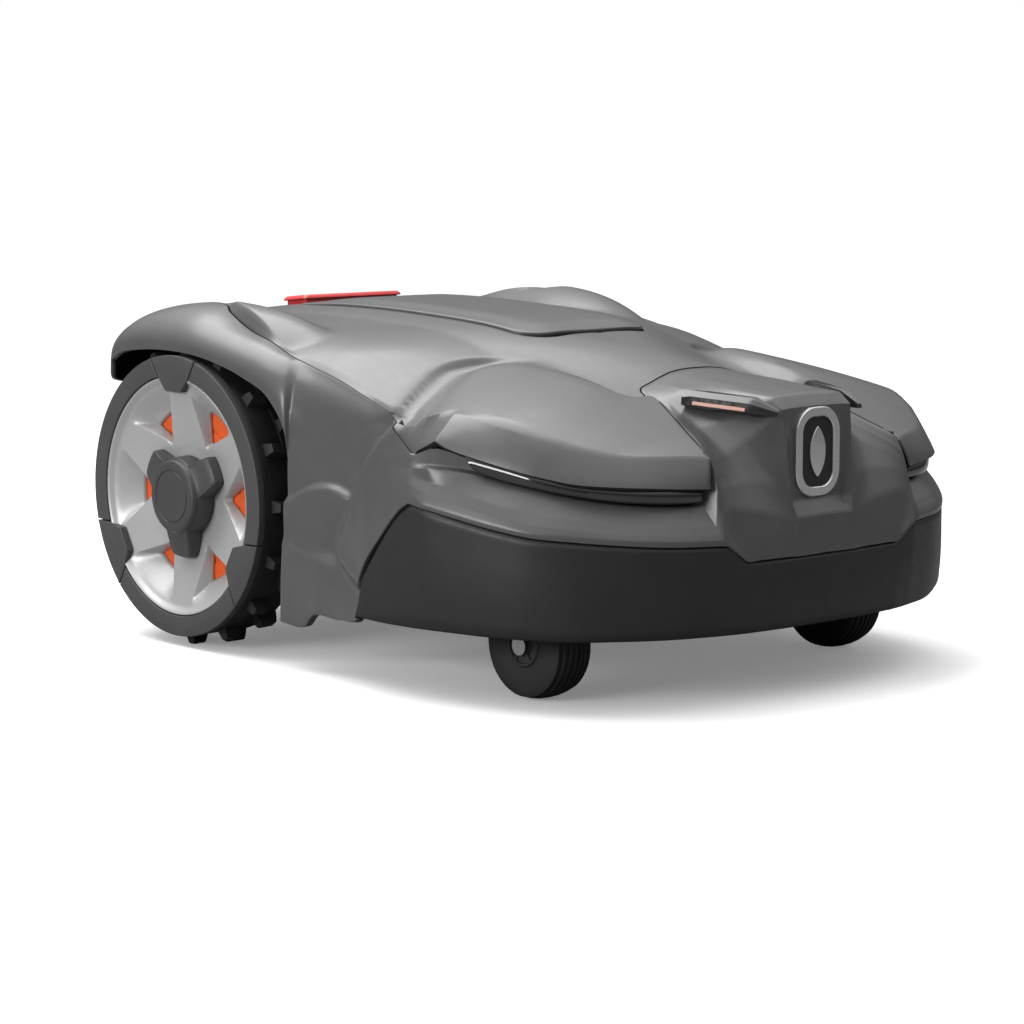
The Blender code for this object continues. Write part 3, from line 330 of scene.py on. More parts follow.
# ---- Meshes and pieces


class Shape:
    """Collects quads in millimetres and makes one mesh object of them."""

    def __init__(self):
        self.points, self.faces, self.looks = [], [], []

    def add(self, points, faces, look=0):
        first = len(self.points)
        self.points.extend(tuple(p) for p in points)
        self.faces.extend(tuple(first + i for i in face) for face in faces)
        self.looks.extend([look] * len(faces))

    def grid(self, grid, look=0, closed=False, keep=None):
        """Quads between the points of a grid (column, row, xyz)."""
        columns, rows = grid.shape[:2]
        faces = []
        for i in range(columns if closed else columns - 1):
            k = (i + 1) % columns
            for j in range(rows - 1):
                if keep is None or keep(i, j):
                    faces.append((i * rows + j, k * rows + j, k * rows + j + 1, i * rows + j + 1))
        self.add(grid.reshape(-1, 3), faces, look)

    def loft(self, rings, caps=True):
        """Closed tube through rings of points."""
        count = len(rings[0])
        faces = []
        for i in range(len(rings) - 1):
            for j in range(count):
                k = (j + 1) % count
                faces.append((i * count + j, i * count + k, (i + 1) * count + k, (i + 1) * count + j))
        if caps:
            faces.append(tuple(range(count)))
            faces.append(tuple((len(rings) - 1) * count + j for j in range(count)))
        self.add(np.concatenate([np.asarray(ring, float) for ring in rings]), faces)

    def turned(self, profile, steps, centre, side=1):
        """Closed profile of (radius, height) pairs turned about the axle through centre."""
        rings = []
        for i in range(steps):
            a = 2 * math.pi * i / steps
            rings.append([on_axle((r * math.cos(a), r * math.sin(a), h), side, centre) for r, h in profile])
        count = len(profile)
        faces = [(i * count + j, i * count + (j + 1) % count, (i + 1) % steps * count + (j + 1) % count,
                  (i + 1) % steps * count + j) for i in range(steps) for j in range(count)]
        self.add(np.array(rings).reshape(-1, 3), faces)

    def mirrored(self):
        """Adds the mirror image on the other side of the middle plane."""
        count = len(self.points)
        self.points.extend([(-x, y, z) for x, y, z in self.points])
        self.faces.extend([tuple(count + i for i in reversed(face)) for face in self.faces])
        self.looks.extend(list(self.looks))
        return self

    def make(self, name, looks, angle, centre=None):
        """Mesh object, welded, with smooth shading up to an angle. centre orients an open surface."""
        mesh = bpy.data.meshes.new(name)
        mesh.from_pydata([tuple(c * MM for c in p) for p in self.points], [], self.faces)
        mesh.polygons.foreach_set("material_index", self.looks)
        bm = bmesh.new()
        bm.from_mesh(mesh)
        bmesh.ops.remove_doubles(bm, verts=bm.verts, dist=WELD * MM)
        bmesh.ops.dissolve_degenerate(bm, edges=bm.edges, dist=1e-7)
        bmesh.ops.recalc_face_normals(bm, faces=bm.faces)
        if centre is not None:
            middle = Vector([c * MM for c in centre])
            facing = sum(f.calc_area() * f.normal.dot((f.calc_center_median() - middle).normalized())
                         for f in bm.faces)
            if facing < 0:
                bmesh.ops.reverse_faces(bm, faces=bm.faces)
        bm.to_mesh(mesh)
        bm.free()
        for look in looks:
            mesh.materials.append(LOOKS[look])
        mesh.shade_smooth()
        mesh.set_sharp_from_angle(angle=math.radians(angle))
        made = bpy.data.objects.new(name, mesh)
        bpy.context.scene.collection.objects.link(made)
        return made


def on_axle(point, side, centre=(0, 0, 0)):
    """Turns a point of a shape about Z onto the axle, outwards on one side, and moves it."""
    x, y, z = point
    return (side * z + centre[0], x + centre[1], y + centre[2])


def wall(made, thickness, inner=1):
    """Thickens an open skin inwards. Its inner faces take the next material."""
    solid = made.modifiers.new("Wall", "SOLIDIFY")
    solid.thickness = thickness * MM
    solid.offset = -1
    solid.material_offset = inner
    solid.material_offset_rim = 0
    return made


def bevel(made, width, angle):
    """Rounds the edges over an angle."""
    edge = made.modifiers.new("Edge", "BEVEL")
    edge.width = width * MM
    edge.segments = 2
    edge.limit_method = "ANGLE"
    edge.angle_limit = math.radians(angle)
    edge.harden_normals = False
    return made


def piece(made, body, slot, *nodes):
    """Puts a piece on a body and hides the imported solids it stands for. Its slot is not used."""
    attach(made, body)
    if nodes:
        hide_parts(*nodes)
    return made


def punch(made, half, front, rear, lowest):
    """Cuts a rectangular hole, seen in plan, through the skin above a height."""
    bm = bmesh.new()
    bm.from_mesh(made.data)
    low = lowest * MM
    for axis, at in ((0, -half), (0, half), (1, front), (1, rear)):
        near = [f for f in bm.faces if f.calc_center_median().z > low
                and abs(f.calc_center_median().x) < (half + 12) * MM
                and (front - 12) * MM < f.calc_center_median().y < (rear + 12) * MM]
        parts = list({v for f in near for v in f.verts} | {e for f in near for e in f.edges}) + near
        point, normal = [0, 0, 0], [0, 0, 0]
        point[axis], normal[axis] = at * MM, 1
        bmesh.ops.bisect_plane(bm, geom=parts, dist=1e-7, plane_co=point, plane_no=normal)
    gone = []
    for face in bm.faces:
        x, y, z = face.calc_center_median()
        if abs(x) < half * MM and front * MM < y < rear * MM and z > low:
            gone.append(face)
    bmesh.ops.delete(bm, geom=gone, context="FACES")
    bm.to_mesh(made.data)
    bm.free()


def unit(vectors):
    """Vectors scaled to length 1."""
    return vectors / np.maximum(np.linalg.norm(vectors, axis=-1, keepdims=True), 1e-9)


def smoothed(values, times):
    """Evens out a line of vectors. Its ends stay as they are."""
    for _ in range(times):
        inner = (values[:-2] + 2 * values[1:-1] + values[2:]) / 4
        values = np.concatenate([values[:1], inner, values[-1:]])
    return values


def lip(edge, inside, radius, depth, centre):
    """Rounded panel edge: rolls over by radius past the edge and goes down into the gap by depth."""
    out = unit(smoothed(unit(edge - inside), 6))
    along = unit(np.gradient(edge, axis=0))
    normal = unit(smoothed(unit(np.cross(along, out)), 4))
    if (np.sum(normal * (edge - np.array(centre, float)), axis=1).mean()) < 0:
        normal = -normal
    rows = [edge]
    for a in (0.5, 1.05, math.pi / 2):
        rows.append(edge + radius * math.sin(a) * out - radius * (1 - math.cos(a)) * normal)
    rows.append(edge + radius * out - (radius + depth) * normal)
    return np.stack(rows, axis=1)


def plain_piece(shape, name, look, angle, body, slot, *nodes):
    """Piece with one look, straight from a shape."""
    return piece(shape.make(name, (look,), angle), body, slot, *nodes)


# ---- Outline of the body

# Against y: height of the skin along the middle, how far the hood falls at x = 190, height of the side,
# and the height and place of the arch's crest.
SPINE = [(-290, 158), (-272, 170), (-237, 185), (-204, 198.5), (-168, 213), (-115, 225), (-75, 232),
         (-14, 240), (46, 244), (136, 246.5), (208, 244.5), (290, 236)]
HOOD_FALL = [(-290, 26), (-254, 28), (-220, 23), (-187, 20), (-157, 24), (-115, 31), (-85, 40),
             (-50, 54), (300, 60)]
SIDE_Z = [(-290, 150), (-120, 172), (-72, 187), (-29, 201), (-5, 208), (36, 215), (100, 220), (290, 220)]
FENDER_Z = [(-74, 150), (6, 196), (31, 217), (50, 228), (87, 243), (134, 251.5), (181, 252.5), (221, 248),
            (247, 239), (272, 222), (290, 204)]
FENDER_X = [(-74, 130), (0, 140), (60, 150), (120, 160), (180, 168), (290, 165)]

# The groove behind the hood, in plan, from the seam's corner inwards to where it fades.
GROOVE = spline([(212, -86), (195, -73), (181, -65), (162, -58), (142, -51.5), (128, -50), (113, -53),
                 (97, -62), (87, -73), (80, -86), (75, -112), (73, -150), (72, -175)], 5)

# The bumper's upper edge and its foot in plan, from the middle of the nose to the side. A profile level
# runs from 0 at the foot to 1 at the top, with how far the face is drawn in there.
BUMPER_TOP = [(0, -289, 98.7), (40, -288, 98.8), (74, -286.5, 99), (92, -286, 111), (128, -275, 112),
              (160, -254, 114), (181, -234, 116), (198, -212, 118), (209, -187, 122), (217, -160, 127),
              (223, -132, 132), (222.5, -118, 134), (222, -106, 127), (221.5, -89, 110), (221, -66, 80),
              (221, -60, 52)]
BUMPER_FOOT = [(0, -289), (40, -288), (74, -285), (92, -281), (128, -269), (160, -250), (182, -233),
               (199, -207), (209, -182), (216, -155), (221, -130), (223, -118), (224, -106), (225, -89),
               (223.5, -67), (221.5, -60)]
BUMPER_BOTTOM = 50.0
BUMPER_PROFILE = [(1.0, 1.7), (0.965, 0.2), (0.88, 0.0), (0.55, -0.9), (0.2, -0.3), (0.06, 0.8), (0.0, 3.4)]

# Front edge of the hood over the light slot, the crease behind it, and the seam from there round the back.
BROW = [(99, -275.2, 147), (119, -269, 148), (142, -259, 149.5), (160, -246, 150.5), (176, -229, 152),
        (186, -214, 155), (194, -201, 158), (205, -178, 164), (212, -147, 171), (214, -136, 175.5),
        (211.3, -113, 166.3)]
CREASE = [(93.5, -269.5, 166), (110, -262, 166.5), (129, -253, 167), (146, -243, 168), (161, -231, 170),
          (173, -217, 174), (182, -203, 180), (191, -182, 185), (196, -154, 191), (196, -136, 193),
          (202, -115.5, 184.5), (203.6, -93.5, 182), (197.6, -79.5, 190.4)]
SEAM = [(208, -90, 177), (202, -76, 189), (197, -49, 196), (194, -14, 205.5), (191, 36, 217),
        (186, 76, 228), (181, 104, 233.5), (177, 123, 238.5), (171, 146, 246), (163, 160, 250),
        (158, 184, 251), (156, 210, 248), (153, 235, 242), (149, 254, 237), (146, 266, 233.5),
        (138, 275, 232), (100, 281, 232.5), (50, 283.5, 233), (0, 284, 233)]
# Edge of the ledge under the light slot, the height of the slot's floor at each of its points, and the
# edge of the console in plan.
LEDGE = [(98, -279.5, 123), (128, -269, 124), (157, -249, 126), (178, -229.5, 129), (193, -208, 132),
         (204, -184, 137), (211.5, -158, 142.5), (216, -134, 148)]
SLOT_FLOOR = [136, 136.5, 138.5, 142, 146.5, 151, 156, 158]
SLOT_DEPTH = 22.0
CONSOLE = [(93, -264), (84.5, -238), (74, -205), (66, -180), (60, -170.5), (46, -167.5), (20, -165.5),
           (0, -165)]

# Foot and top of the skin over the wheel arch and round the back, and how far the back bulges.
ARCH = [(212, 27.5, 150), (212.3, 30, 173), (212.5, 46, 191), (212.5, 76, 204), (212.3, 102, 211),
        (212, 127, 215.5), (212, 155, 218), (212, 184, 218.3), (212, 208, 217), (211.5, 230, 213.5),
        (210, 244, 207), (206, 250, 194), (196, 258, 190), (181, 266, 188), (165, 271, 188),
        (158, 272, 150), (152, 274, 62), (100, 280, 60), (50, 283, 60), (0, 284, 60)]
ARCH_TOP = [(191, 40, 217.5), (190.3, 46, 218.8), (189, 56, 221.5), (186, 76, 227.3), (181.5, 104, 233),
            (177.5, 123, 238), (171.5, 146, 245.5), (163.5, 161, 249.3), (158.6, 184, 250.3),
            (156.6, 210, 247.3), (153.6, 235, 241.3), (150, 254, 236.3), (147.5, 266, 232.8),
            (146, 270, 232), (143, 274, 231.8), (138.5, 277, 231.5), (120, 281, 231.7), (100, 284, 231.8),
            (50, 286.5, 232.2), (0, 287, 232.3)]
REAR_SWELL = 9.0
MIDDLE = (0, 0, 120)  # a point inside the body, away from which its skins face

LID_FRONT, LID_REAR, LID_HALF, LID_CORNER = -63.0, 206.0, 62.0, 26.0
BUTTON_Y, BUTTON_HALF = 228.0, (49.0, 15.0)

AXLE_Y, WHEEL_R = 159.3, 111.2
CASTER_X, CASTER_Y, CASTER_R = 146.0, -163.0, 37.3


def roof(x, y):
    """Height of the upper skin over points in plan."""
    x, y = np.broadcast_arrays(np.abs(np.asarray(x, float)), np.asarray(y, float))
    spine = curve(SPINE, y)
    plateau = spine - np.where(x < 95, 6 * (x / 95) ** 4, 6 + 0.12 * (x - 95))
    side = curve(SIDE_Z, y) + 0.30 * (195 - x) + 3.0 * np.sin(np.pi * np.clip((195 - x) / 100, 0, 1))
    rear = -soft_max(-plateau, -side, 6)
    hood = spine - curve(HOOD_FALL, y) * (x / 190) ** 2.4
    ahead = signed_distance(x, y, GROOVE)
    share = step(ahead / 26)
    height = rear * (1 - share) + hood * share
    fade = step((x - 82) / 30)
    height = height - 4.6 * fade * step(ahead / 3.5) * (1 - step((ahead - 11) / 26))
    height = height + 1.7 * fade * np.exp(-(((ahead - 8.6) / 1.7) ** 2)) * step((198 - x) / 12)
    crest = curve(FENDER_X, y)
    fender = curve(FENDER_Z, y) - 22 * (np.maximum(crest - x, 0) / 40) ** 1.6
    fender = fender - 8 * (np.maximum(x - crest, 0) / 27) ** 2
    return soft_max(height, fender, 3.0)


def inward(line, i, distance):
    """Point i of a plan line moved towards the middle of the mower, square to the line."""
    before = np.array(line[max(i - 1, 0)][:2], float)
    after = np.array(line[min(i + 1, len(line) - 1)][:2], float)
    along = (after - before) / np.linalg.norm(after - before)
    return np.array(line[i][:2], float) + distance * np.array([-along[1], along[0]])


# ---- Body shell

ROWS = [9, 9, 6, 12, 6, 8, 7]


def nose_sections():
    """Sections from the middle of the nose to the inner end of the light slot."""
    face = [(-165.6, 213.4), (-225, 207), (-268, 203), (-276.5, 195.5), (-276.8, 134), (-285.3, 123.5),
            (-287, 112), (-289, 98.7)]
    sections = []
    for x in (0, 14, 26):
        sections.append([(x, y + x * 0.02 * (i > 4), z - x * 0.02) for i, (y, z) in enumerate(face)])
    return sections + [
        [(32, -166.6, 212.4), (33.5, -225, 205.5), (33.5, -267, 201.8), (33.5, -277, 194.5),
         (30, -283.4, 134), (27, -286, 121), (34, -286.8, 112), (38, -288.1, 98.8)],
        [(47, -168.4, 211), (51, -215, 201.5), (54, -243, 187), (52, -260, 173), (44, -276.3, 147),
         (37, -284.4, 124), (44, -286, 112), (50, -287.7, 98.8)],
        [(60, -171.5, 209.6), (64, -208, 195), (66, -236, 181.5), (63.5, -257, 167), (57.5, -271, 149),
         (53.5, -281.3, 129), (59, -284.7, 112.5), (64, -287.1, 99)],
        [(73.4, -205.5, 195), (75, -226, 185.5), (76, -246, 174.5), (75, -260, 162.5), (72, -271.5, 148),
         (70, -279.8, 131), (73, -283.8, 112), (74, -286.5, 99)],
        [(83.8, -238.5, 181), (84, -252, 174), (84.5, -262, 166), (85, -268.5, 157.5), (84, -274, 147),
         (83, -279.5, 133), (83, -283.3, 114), (83, -286.2, 105)],
        [(92.2, -264.5, 169.5), (92.6, -268.5, 165.5), (93, -272.8, 158), (93.6, -275.6, 149.5),
         (94, -277.2, 142), (94.5, -279, 133), (94, -282.2, 124), (92.5, -286, 111)],
    ]


def slot_tops():
    """Height of the brow over each section of the slot."""
    brow_x, _, brow_z = np.array(BROW[:10], float).T
    return np.interp([98, 128, 157, 178, 193, 204, 211.5, 216], brow_x, brow_z)


def band_sections():
    """Sections along the light slot, its ledge and the band above the bumper."""
    edge = BUMPER_TOP[3:11]
    sections = []
    for i, (crest, floor, top) in enumerate(zip(LEDGE, SLOT_FLOOR, slot_tops())):
        depth = SLOT_DEPTH if i < 6 else (19.0, 13.0)[i - 6]
        back, lip_at = inward(edge, i, depth), inward(edge, i, depth - 6)
        foot = edge[i] if i else (96, -285.2, 111.1)
        if i == 0:
            back, lip_at = (98.5, -263), (98, -268)
        middle = [(a + b) / 2 for a, b in zip(crest, foot)]
        sections.append([
            (*back, top + (6 if i < 6 else -5)), (*back, (top + floor) / 2), (*back, floor + 0.5),
            (*lip_at, floor - 0.8), crest, (middle[0] + 0.8, middle[1] - 0.8, middle[2] + 0.5),
            (foot[0], foot[1], foot[2] + 3), foot,
        ])
    return sections


def wall_sections():
    """Sections of the side wall from the tip of the brow to the front of the wheel arch."""
    return [
        [(213.2, -112, 163.5), (214, -112, 161.5), (214.7, -112, 158.7), (215.5, -112.5, 155.5),
         (217.5, -114, 151.0), (219.5, -115, 146), (221, -116, 140), (222.5, -118, 134)],
        [(208, -90, 176.0), (210, -92, 170), (212, -94, 163), (214, -96, 155), (216.5, -98, 147),
         (218.5, -100, 140), (220.5, -103, 133), (222, -106, 127)],
        [(202.8, -76, 187.6), (206, -78, 180), (209, -79, 171), (212, -81, 160), (214.5, -83, 148),
         (217, -85, 135), (219.5, -87, 122), (221.5, -89, 110)],
        [(199.5, -60, 192.7), (205, -61, 182), (209, -62, 169), (212, -63, 152), (214.5, -64, 134),
         (217, -65, 115), (219, -65.5, 97), (221, -66, 80)],
        [(197.5, -49, 195.4), (203.5, -49, 185), (207.5, -49, 170), (210, -49, 150), (213, -50, 125),
         (215.5, -51, 100), (218, -55, 75), (219.5, -60, 50)],
        [(195.8, -32, 200), (202.5, -32, 187), (206, -32, 166), (208, -32, 143), (210, -32, 125),
         (211.5, -32, 103), (213, -33, 78), (215.5, -36, 45)],
        [(194, -8, 206.8), (202.5, -8, 192), (206.3, -8, 169), (208.5, -8, 143), (210, -8, 125),
         (211, -8, 104), (212, -7, 80), (212.5, -4, 44)],
        [(192.5, 14, 211.5), (202.5, 14, 197), (207.2, 14, 173), (209.2, 15, 145), (210.4, 16, 125),
         (211, 17, 104), (211.3, 16, 78), (210.8, 13, 33)],
        [(191.3, 30, 215), (202, 28, 203), (208, 27, 182), (210, 26.5, 152), (211.5, 27, 124),
         (211.5, 31, 97), (211, 35, 68), (210.3, 37, 34)],
    ]


# Lines on the side wall as (y, z): pillar ridge, upper ledge and the crease below the bulge.
RIDGE = spline([(-94, 192), (-76, 175), (-60, 156), (-47, 134), (-38, 113), (-30, 98), (-31, 86), (-44, 78),
                (-58, 72)], 5)
LEDGE_ARC = spline([(50, 112), (36, 117), (16, 126), (0, 132.5), (-23, 134.5), (-38, 130)], 5)
LOW_ARC = spline([(50, 100), (29, 92), (16, 87.5), (4, 85.5), (-15, 84.5), (-30, 85), (-36, 88)], 5)


def dress_wall(points):
    """Adds the ridge, ledge and bulge of the side wall to points on it."""
    x, y, z = points[..., 0], points[..., 1], points[..., 2]
    here = step((y + 104) / 14) * step((38 - y) / 14) * step((x - 196) / 8) * step((190 - z) / 10)
    ridge = -signed_distance(y, z, RIDGE)
    turn = step((ridge + 2.2) / 4.4)
    shift = (-3.4 * np.exp(-(np.minimum(ridge, 0) / 17) ** 2) * (1 - turn)
             + 2.2 * np.exp(-(np.maximum(ridge, 0) / 9) ** 2) * turn)
    behind = step((-ridge - 1) / 7)
    ledge = signed_distance(y, z, LEDGE_ARC)
    under = step((ledge + 1.8) / 3.6)
    shift += behind * (-1.8 * np.exp(-(np.minimum(ledge, 0) / 14) ** 2) * (1 - under)
                       + 2.6 * np.exp(-(np.maximum(ledge, 0) / 22) ** 2) * under)
    low = signed_distance(y, z, LOW_ARC)
    below = step((low + 1.8) / 3.6)
    shift += behind * (-2.4 * np.exp(-(np.minimum(low, 0) / 12) ** 2) * (1 - below)
                       + 1.0 * np.exp(-(np.maximum(low, 0) / 16) ** 2) * below)
    out = points.copy()
    out[..., 0] += here * shift
    return out


def fender_grid(first):
    """Fine grid over the arch and round the back, starting from a column of points of the wall."""
    sections = [first]
    for i, (top, foot) in enumerate(zip(ARCH_TOP[1:], ARCH[1:]), 1):
        top, foot = np.array(top, float), np.array(foot, float)
        swell = REAR_SWELL * np.clip((i - 11) / 4, 0, 1) * (1 - 0.5 * np.clip((i - 15) / 2, 0, 1))
        a = (math.pi / 2 * np.linspace(0, 1, len(first)))[:, None]
        section = top + (foot - top) * np.sin(a)
        section[:, 2] = foot[2] + (top[2] - foot[2]) * np.cos(a[:, 0]) ** 0.9
        section[:, 1] += swell * np.sin(2 * a[:, 0])
        sections.append(section)
    net = np.array(sections)
    return through(net, counts_for(net, 2.7), {10, 14, 15})


def body_grids():
    """Fine grids from the nose to the wheel arch and over the arch, and the columns that part them."""
    nose, band, side = nose_sections(), band_sections(), wall_sections()
    net = np.array(nose + band + side, float)
    first_band, first_wall = len(nose), len(nose) + len(band)
    sharp = {2, 3, 4, 8, first_band, first_wall - 1, first_wall}
    counts = counts_for(net, 2.7)
    counts[first_band - 1] = 5
    starts = np.concatenate([[0], np.cumsum(counts)])
    crisp = dress_wall(surface(net, counts, ROWS, sharp, sharp_rows={2, 3, 4, 5}))
    softness = np.clip((np.arange(len(crisp)) - starts[first_wall - 2]) / 16, 0.2, 1)[:, None, None]
    grid = crisp + (relax(crisp, 2) - crisp) * softness
    low = int(np.argmin(abs(grid[-1][:, 2] - 150)))
    arch = fender_grid(grid[-1][:low + 1])
    arch[1:-1] = relax(arch, 2)[1:-1]
    last = starts[first_band - 1] + 1
    rise = roof(grid[:last, 0, 0], grid[:last, 0, 1]) - 0.3 - grid[:last, 0, 2]
    for row in range(7):
        grid[:last, row, 2] += rise * (1 - row / 7)
    return grid, arch, last, starts[first_wall], low


BODY = body_grids()


def seam_line(row):
    """Points along the rear seam on one row of the body's grids."""
    grid, arch, _, wall_start, _ = BODY
    return np.concatenate([grid[wall_start:, row], arch[1:, row]])


def shell(shape, name, look, middle, thickness, hole=None):
    """Mirrored shell of a skin: its outer face in one look, its inside dark as painted shade for the gaps.
    """
    made = shape.mirrored().make(name, (look, "dark"), 40, middle)
    if hole:
        punch(made, *hole)
    wall(made, thickness)
    return made


def make_body():
    """Sides, nose and wheel arches, with rolled edges along the seams."""
    grid, arch, last, _, low = BODY
    shape = Shape()
    shape.grid(grid)
    shape.grid(arch)
    # The lips down into the seams take the near-black look: painted shade in the gaps.
    shape.grid(lip(grid[:last, 0], grid[:last, 2], 0.4, 4.0, MIDDLE), 1)
    shape.grid(lip(seam_line(0)[2:], seam_line(2)[2:], 0.35, 4.5, MIDDLE), 1)
    under = lip(grid[:, -1], grid[:, -3], 0.7, 5.0, MIDDLE)
    under[..., 2] = np.maximum(under[..., 2], grid[:, -1, 2].min() - 0.7)
    shape.grid(under)
    edge = np.concatenate([grid[-1][low:][::-1], arch[1:, -1]])
    inside = np.concatenate([grid[-3][low:][::-1], arch[1:, -3]])
    shape.grid(lip(edge, inside, 0.8, 3.0, MIDDLE))
    made = shell(shape, "body_shell_skin", "body", MIDDLE, 1.8)
    piece(made, "cover", "body_grey", "body_shell")


# ---- Top cover and hatch


def beside(line, distance):
    """Plan line moved sideways by a distance, to the right of its direction."""
    along = np.gradient(line[:, :2], axis=0)
    along = unit(smoothed(unit(along), 3))
    moved = line.copy()
    moved[:, :2] += distance * np.stack([along[:, 1], -along[:, 0]], axis=1)
    return moved


def lid_outline(side, front, rear, corner_points=6):
    """Half outline of the hatch from its front round to its rear, grown at each edge."""
    points = [(0, LID_FRONT - front), (LID_HALF - LID_CORNER, LID_FRONT + 1 - front)]
    centre = (LID_HALF - LID_CORNER, LID_FRONT + 1 + LID_CORNER)
    for i in range(1, corner_points):
        a = math.pi / 2 * i / corner_points
        points.append((centre[0] + (LID_CORNER + side) * math.sin(a),
                       centre[1] - (LID_CORNER + front) * math.cos(a)))
    points.append((LID_HALF + side, centre[1]))
    points += [(LID_HALF + side + 2, y) for y in (15, 80, 145)]
    points += [(LID_HALF + side, LID_REAR - 10), (LID_HALF - 3 + side, LID_REAR - 2 + rear),
               (LID_HALF - 12, LID_REAR + rear), (0, LID_REAR + rear)]
    return points


CONSOLE_GAP, REAR_GAP = 1.4, 1.45  # from the body's edge to the edge of the top cover
FULL_BEND = 36.0  # length of the handle that bends a column of the cover


def cover_lines(opening):
    """Outer edge, crease and inner end of each column of the top cover, and where its sections start."""
    outer = np.array(BROW + SEAM, float)
    inner = resample(CONSOLE, 9).tolist()
    inner += [(0, -140), (0, -104)] + opening + [(0, y) for y in (216, 230, 244, 256)]
    outer = np.concatenate([outer[:11], resample(outer[11:], len(inner) - 11)])
    net = []
    for i, (point, end) in enumerate(zip(outer, inner)):
        end = np.array(end, float)
        away = unit(end - point[:2])
        start = point.copy()
        if i >= 11:
            start[:2] += EDGE_IN * away
        crease = CREASE[i] if i < len(CREASE) else (*(start[:2] + 5.0 * away), start[2])
        net.append([start, crease, (max(end[0], 0), end[1], 0)])
    net = np.array(net, float)
    counts = counts_for(net, 3.0)
    return through(net, counts, {9, 10, 19, 20}), np.concatenate([[0], np.cumsum(counts)])


def follow_body(lines, starts, open_end):
    """Moves the edges of the top cover to a narrow gap from the body, and its middle onto x = 0."""
    console = beside(BODY[0][:BODY[2], 0], -CONSOLE_GAP)[::-1]
    console[-1, 0] = 0
    lines[:starts[8] + 1, 2, :2] = resample(console, starts[8] + 1)[:, :2]
    seam = beside(seam_line(0), -REAR_GAP)
    seam[-1, 0] = 0
    seam = resample(seam, len(lines) - starts[10])
    lines[starts[10]:, 0] = seam
    after = seam[starts[11] - starts[10]:, :2]
    lines[starts[11]:, 1, :2] = after + 5.0 * unit(lines[starts[11]:, 2, :2] - after)
    lines[starts[8]:starts[11] + 1, 2, 0] = 0
    lines[open_end:, 2, 0] = 0


def cover_top(lines, starts, at):
    """Upper skin of the cover. Its columns bend, so that they meet the console at an open angle."""
    share = (np.arange(0, 45) / 44)[None, :, None]
    reach = np.linalg.norm(lines[:, 2, :2] - lines[:, 1, :2], axis=1)[:, None, None]
    share = share + (1.0 / reach) * (1 - share)
    turns = [19, 22, 42, 60, 60, 48, 24, 0, -48]
    turn = np.radians(np.interp(at, starts[[0, 3, 4, 5, 7, 8, 9, 10, 11]], turns))
    front = np.clip((LID_FRONT + LID_CORNER - lines[:, 2, 1]) / LID_CORNER, 0, 1)
    turn = np.where(at > starts[11], np.radians(-60) * front, turn)
    pull = np.where(at > starts[11], front, 1) * np.minimum(FULL_BEND, 0.3 * reach[:, 0, 0])
    knee = lines[:, 2, :2] + np.stack([np.cos(turn), np.sin(turn)], axis=1) * pull[:, None]
    plan = (lines[:, 1:2, :2] * (1 - share) ** 2 + 2 * knee[:, None] * share * (1 - share)
            + lines[:, 2:3, :2] * share ** 2)
    straight = lines[:, 1:2, :2] * (1 - share) + lines[:, 2:3, :2] * share
    bent = np.clip(pull / FULL_BEND, 0, 1)[:, None, None]
    plan = plan * bent + straight * (1 - bent)
    return np.concatenate([plan, roof(plan[..., 0], plan[..., 1])[..., None]], axis=2)


def make_cover():
    """Hood, console surround and rear deck in one skin, with the openings of the hatch and the button."""
    opening = lid_outline(0.9, 6.0, 1.0)
    lines, starts = cover_lines(opening)
    follow_body(lines, starts, starts[10 + len(opening)])
    at = np.arange(len(lines))
    free = step((at - starts[11]) / (starts[14] - starts[11]))[:, None]
    skin = cover_top(lines, starts, at)
    crease_z = lines[:, 1, 2] * (1 - free[:, 0]) + roof(lines[:, 1, 0], lines[:, 1, 1]) * free[:, 0]
    crease_row = np.concatenate([lines[:, 1, :2], crease_z[:, None]], axis=1)
    edge = lines[:, 0]
    low = crease_row * 0.95 + edge * 0.05
    bands = np.stack([edge, edge * 0.7 + low * 0.3, edge * 0.35 + low * 0.65, low], axis=1)
    swell = np.array([0, 0.9, 0.9, 0.2])[None, :, None] * (1 - free)[:, None, :]
    out = unit(edge - np.array([0, -60, 0]))
    out[:, 2] = 0
    grid = np.concatenate([bands + swell * out[:, None, :], skin], axis=1)
    soft = np.clip((at - starts[8]) / 12, 0, 1)[:, None, None] * np.clip(
        (np.arange(grid.shape[1]) - 4) / 4, 0, 1)[None, :, None]
    grid = grid + (relax(grid, 2) - grid) * soft
    shape = Shape()
    shape.grid(grid)
    # The lips into the seam and along the console take the near-black look: painted shade in the gaps.
    shape.grid(lip(grid[:, 0], grid[:, 2], 0.4, 4.5, MIDDLE), 1)
    console = grid[3:starts[8] + 1]
    shape.grid(lip(console[:, -1], console[:, -3], 0.4, 4.0, MIDDLE), 1)
    hatch = grid[starts[11]:starts[10 + len(opening)] + 1]
    shape.grid(lip(hatch[:, -1], hatch[:, -3], 1.2, 20.0, MIDDLE))
    half_x, half_y = BUTTON_HALF
    hole = (half_x - 2.0, BUTTON_Y - half_y + 2.0, BUTTON_Y + half_y - 2.0, 225)
    made = shell(shape, "top_cover_skin", "body", MIDDLE, 1.8, hole)
    piece(made, "cover", "body_grey", "top_cover")


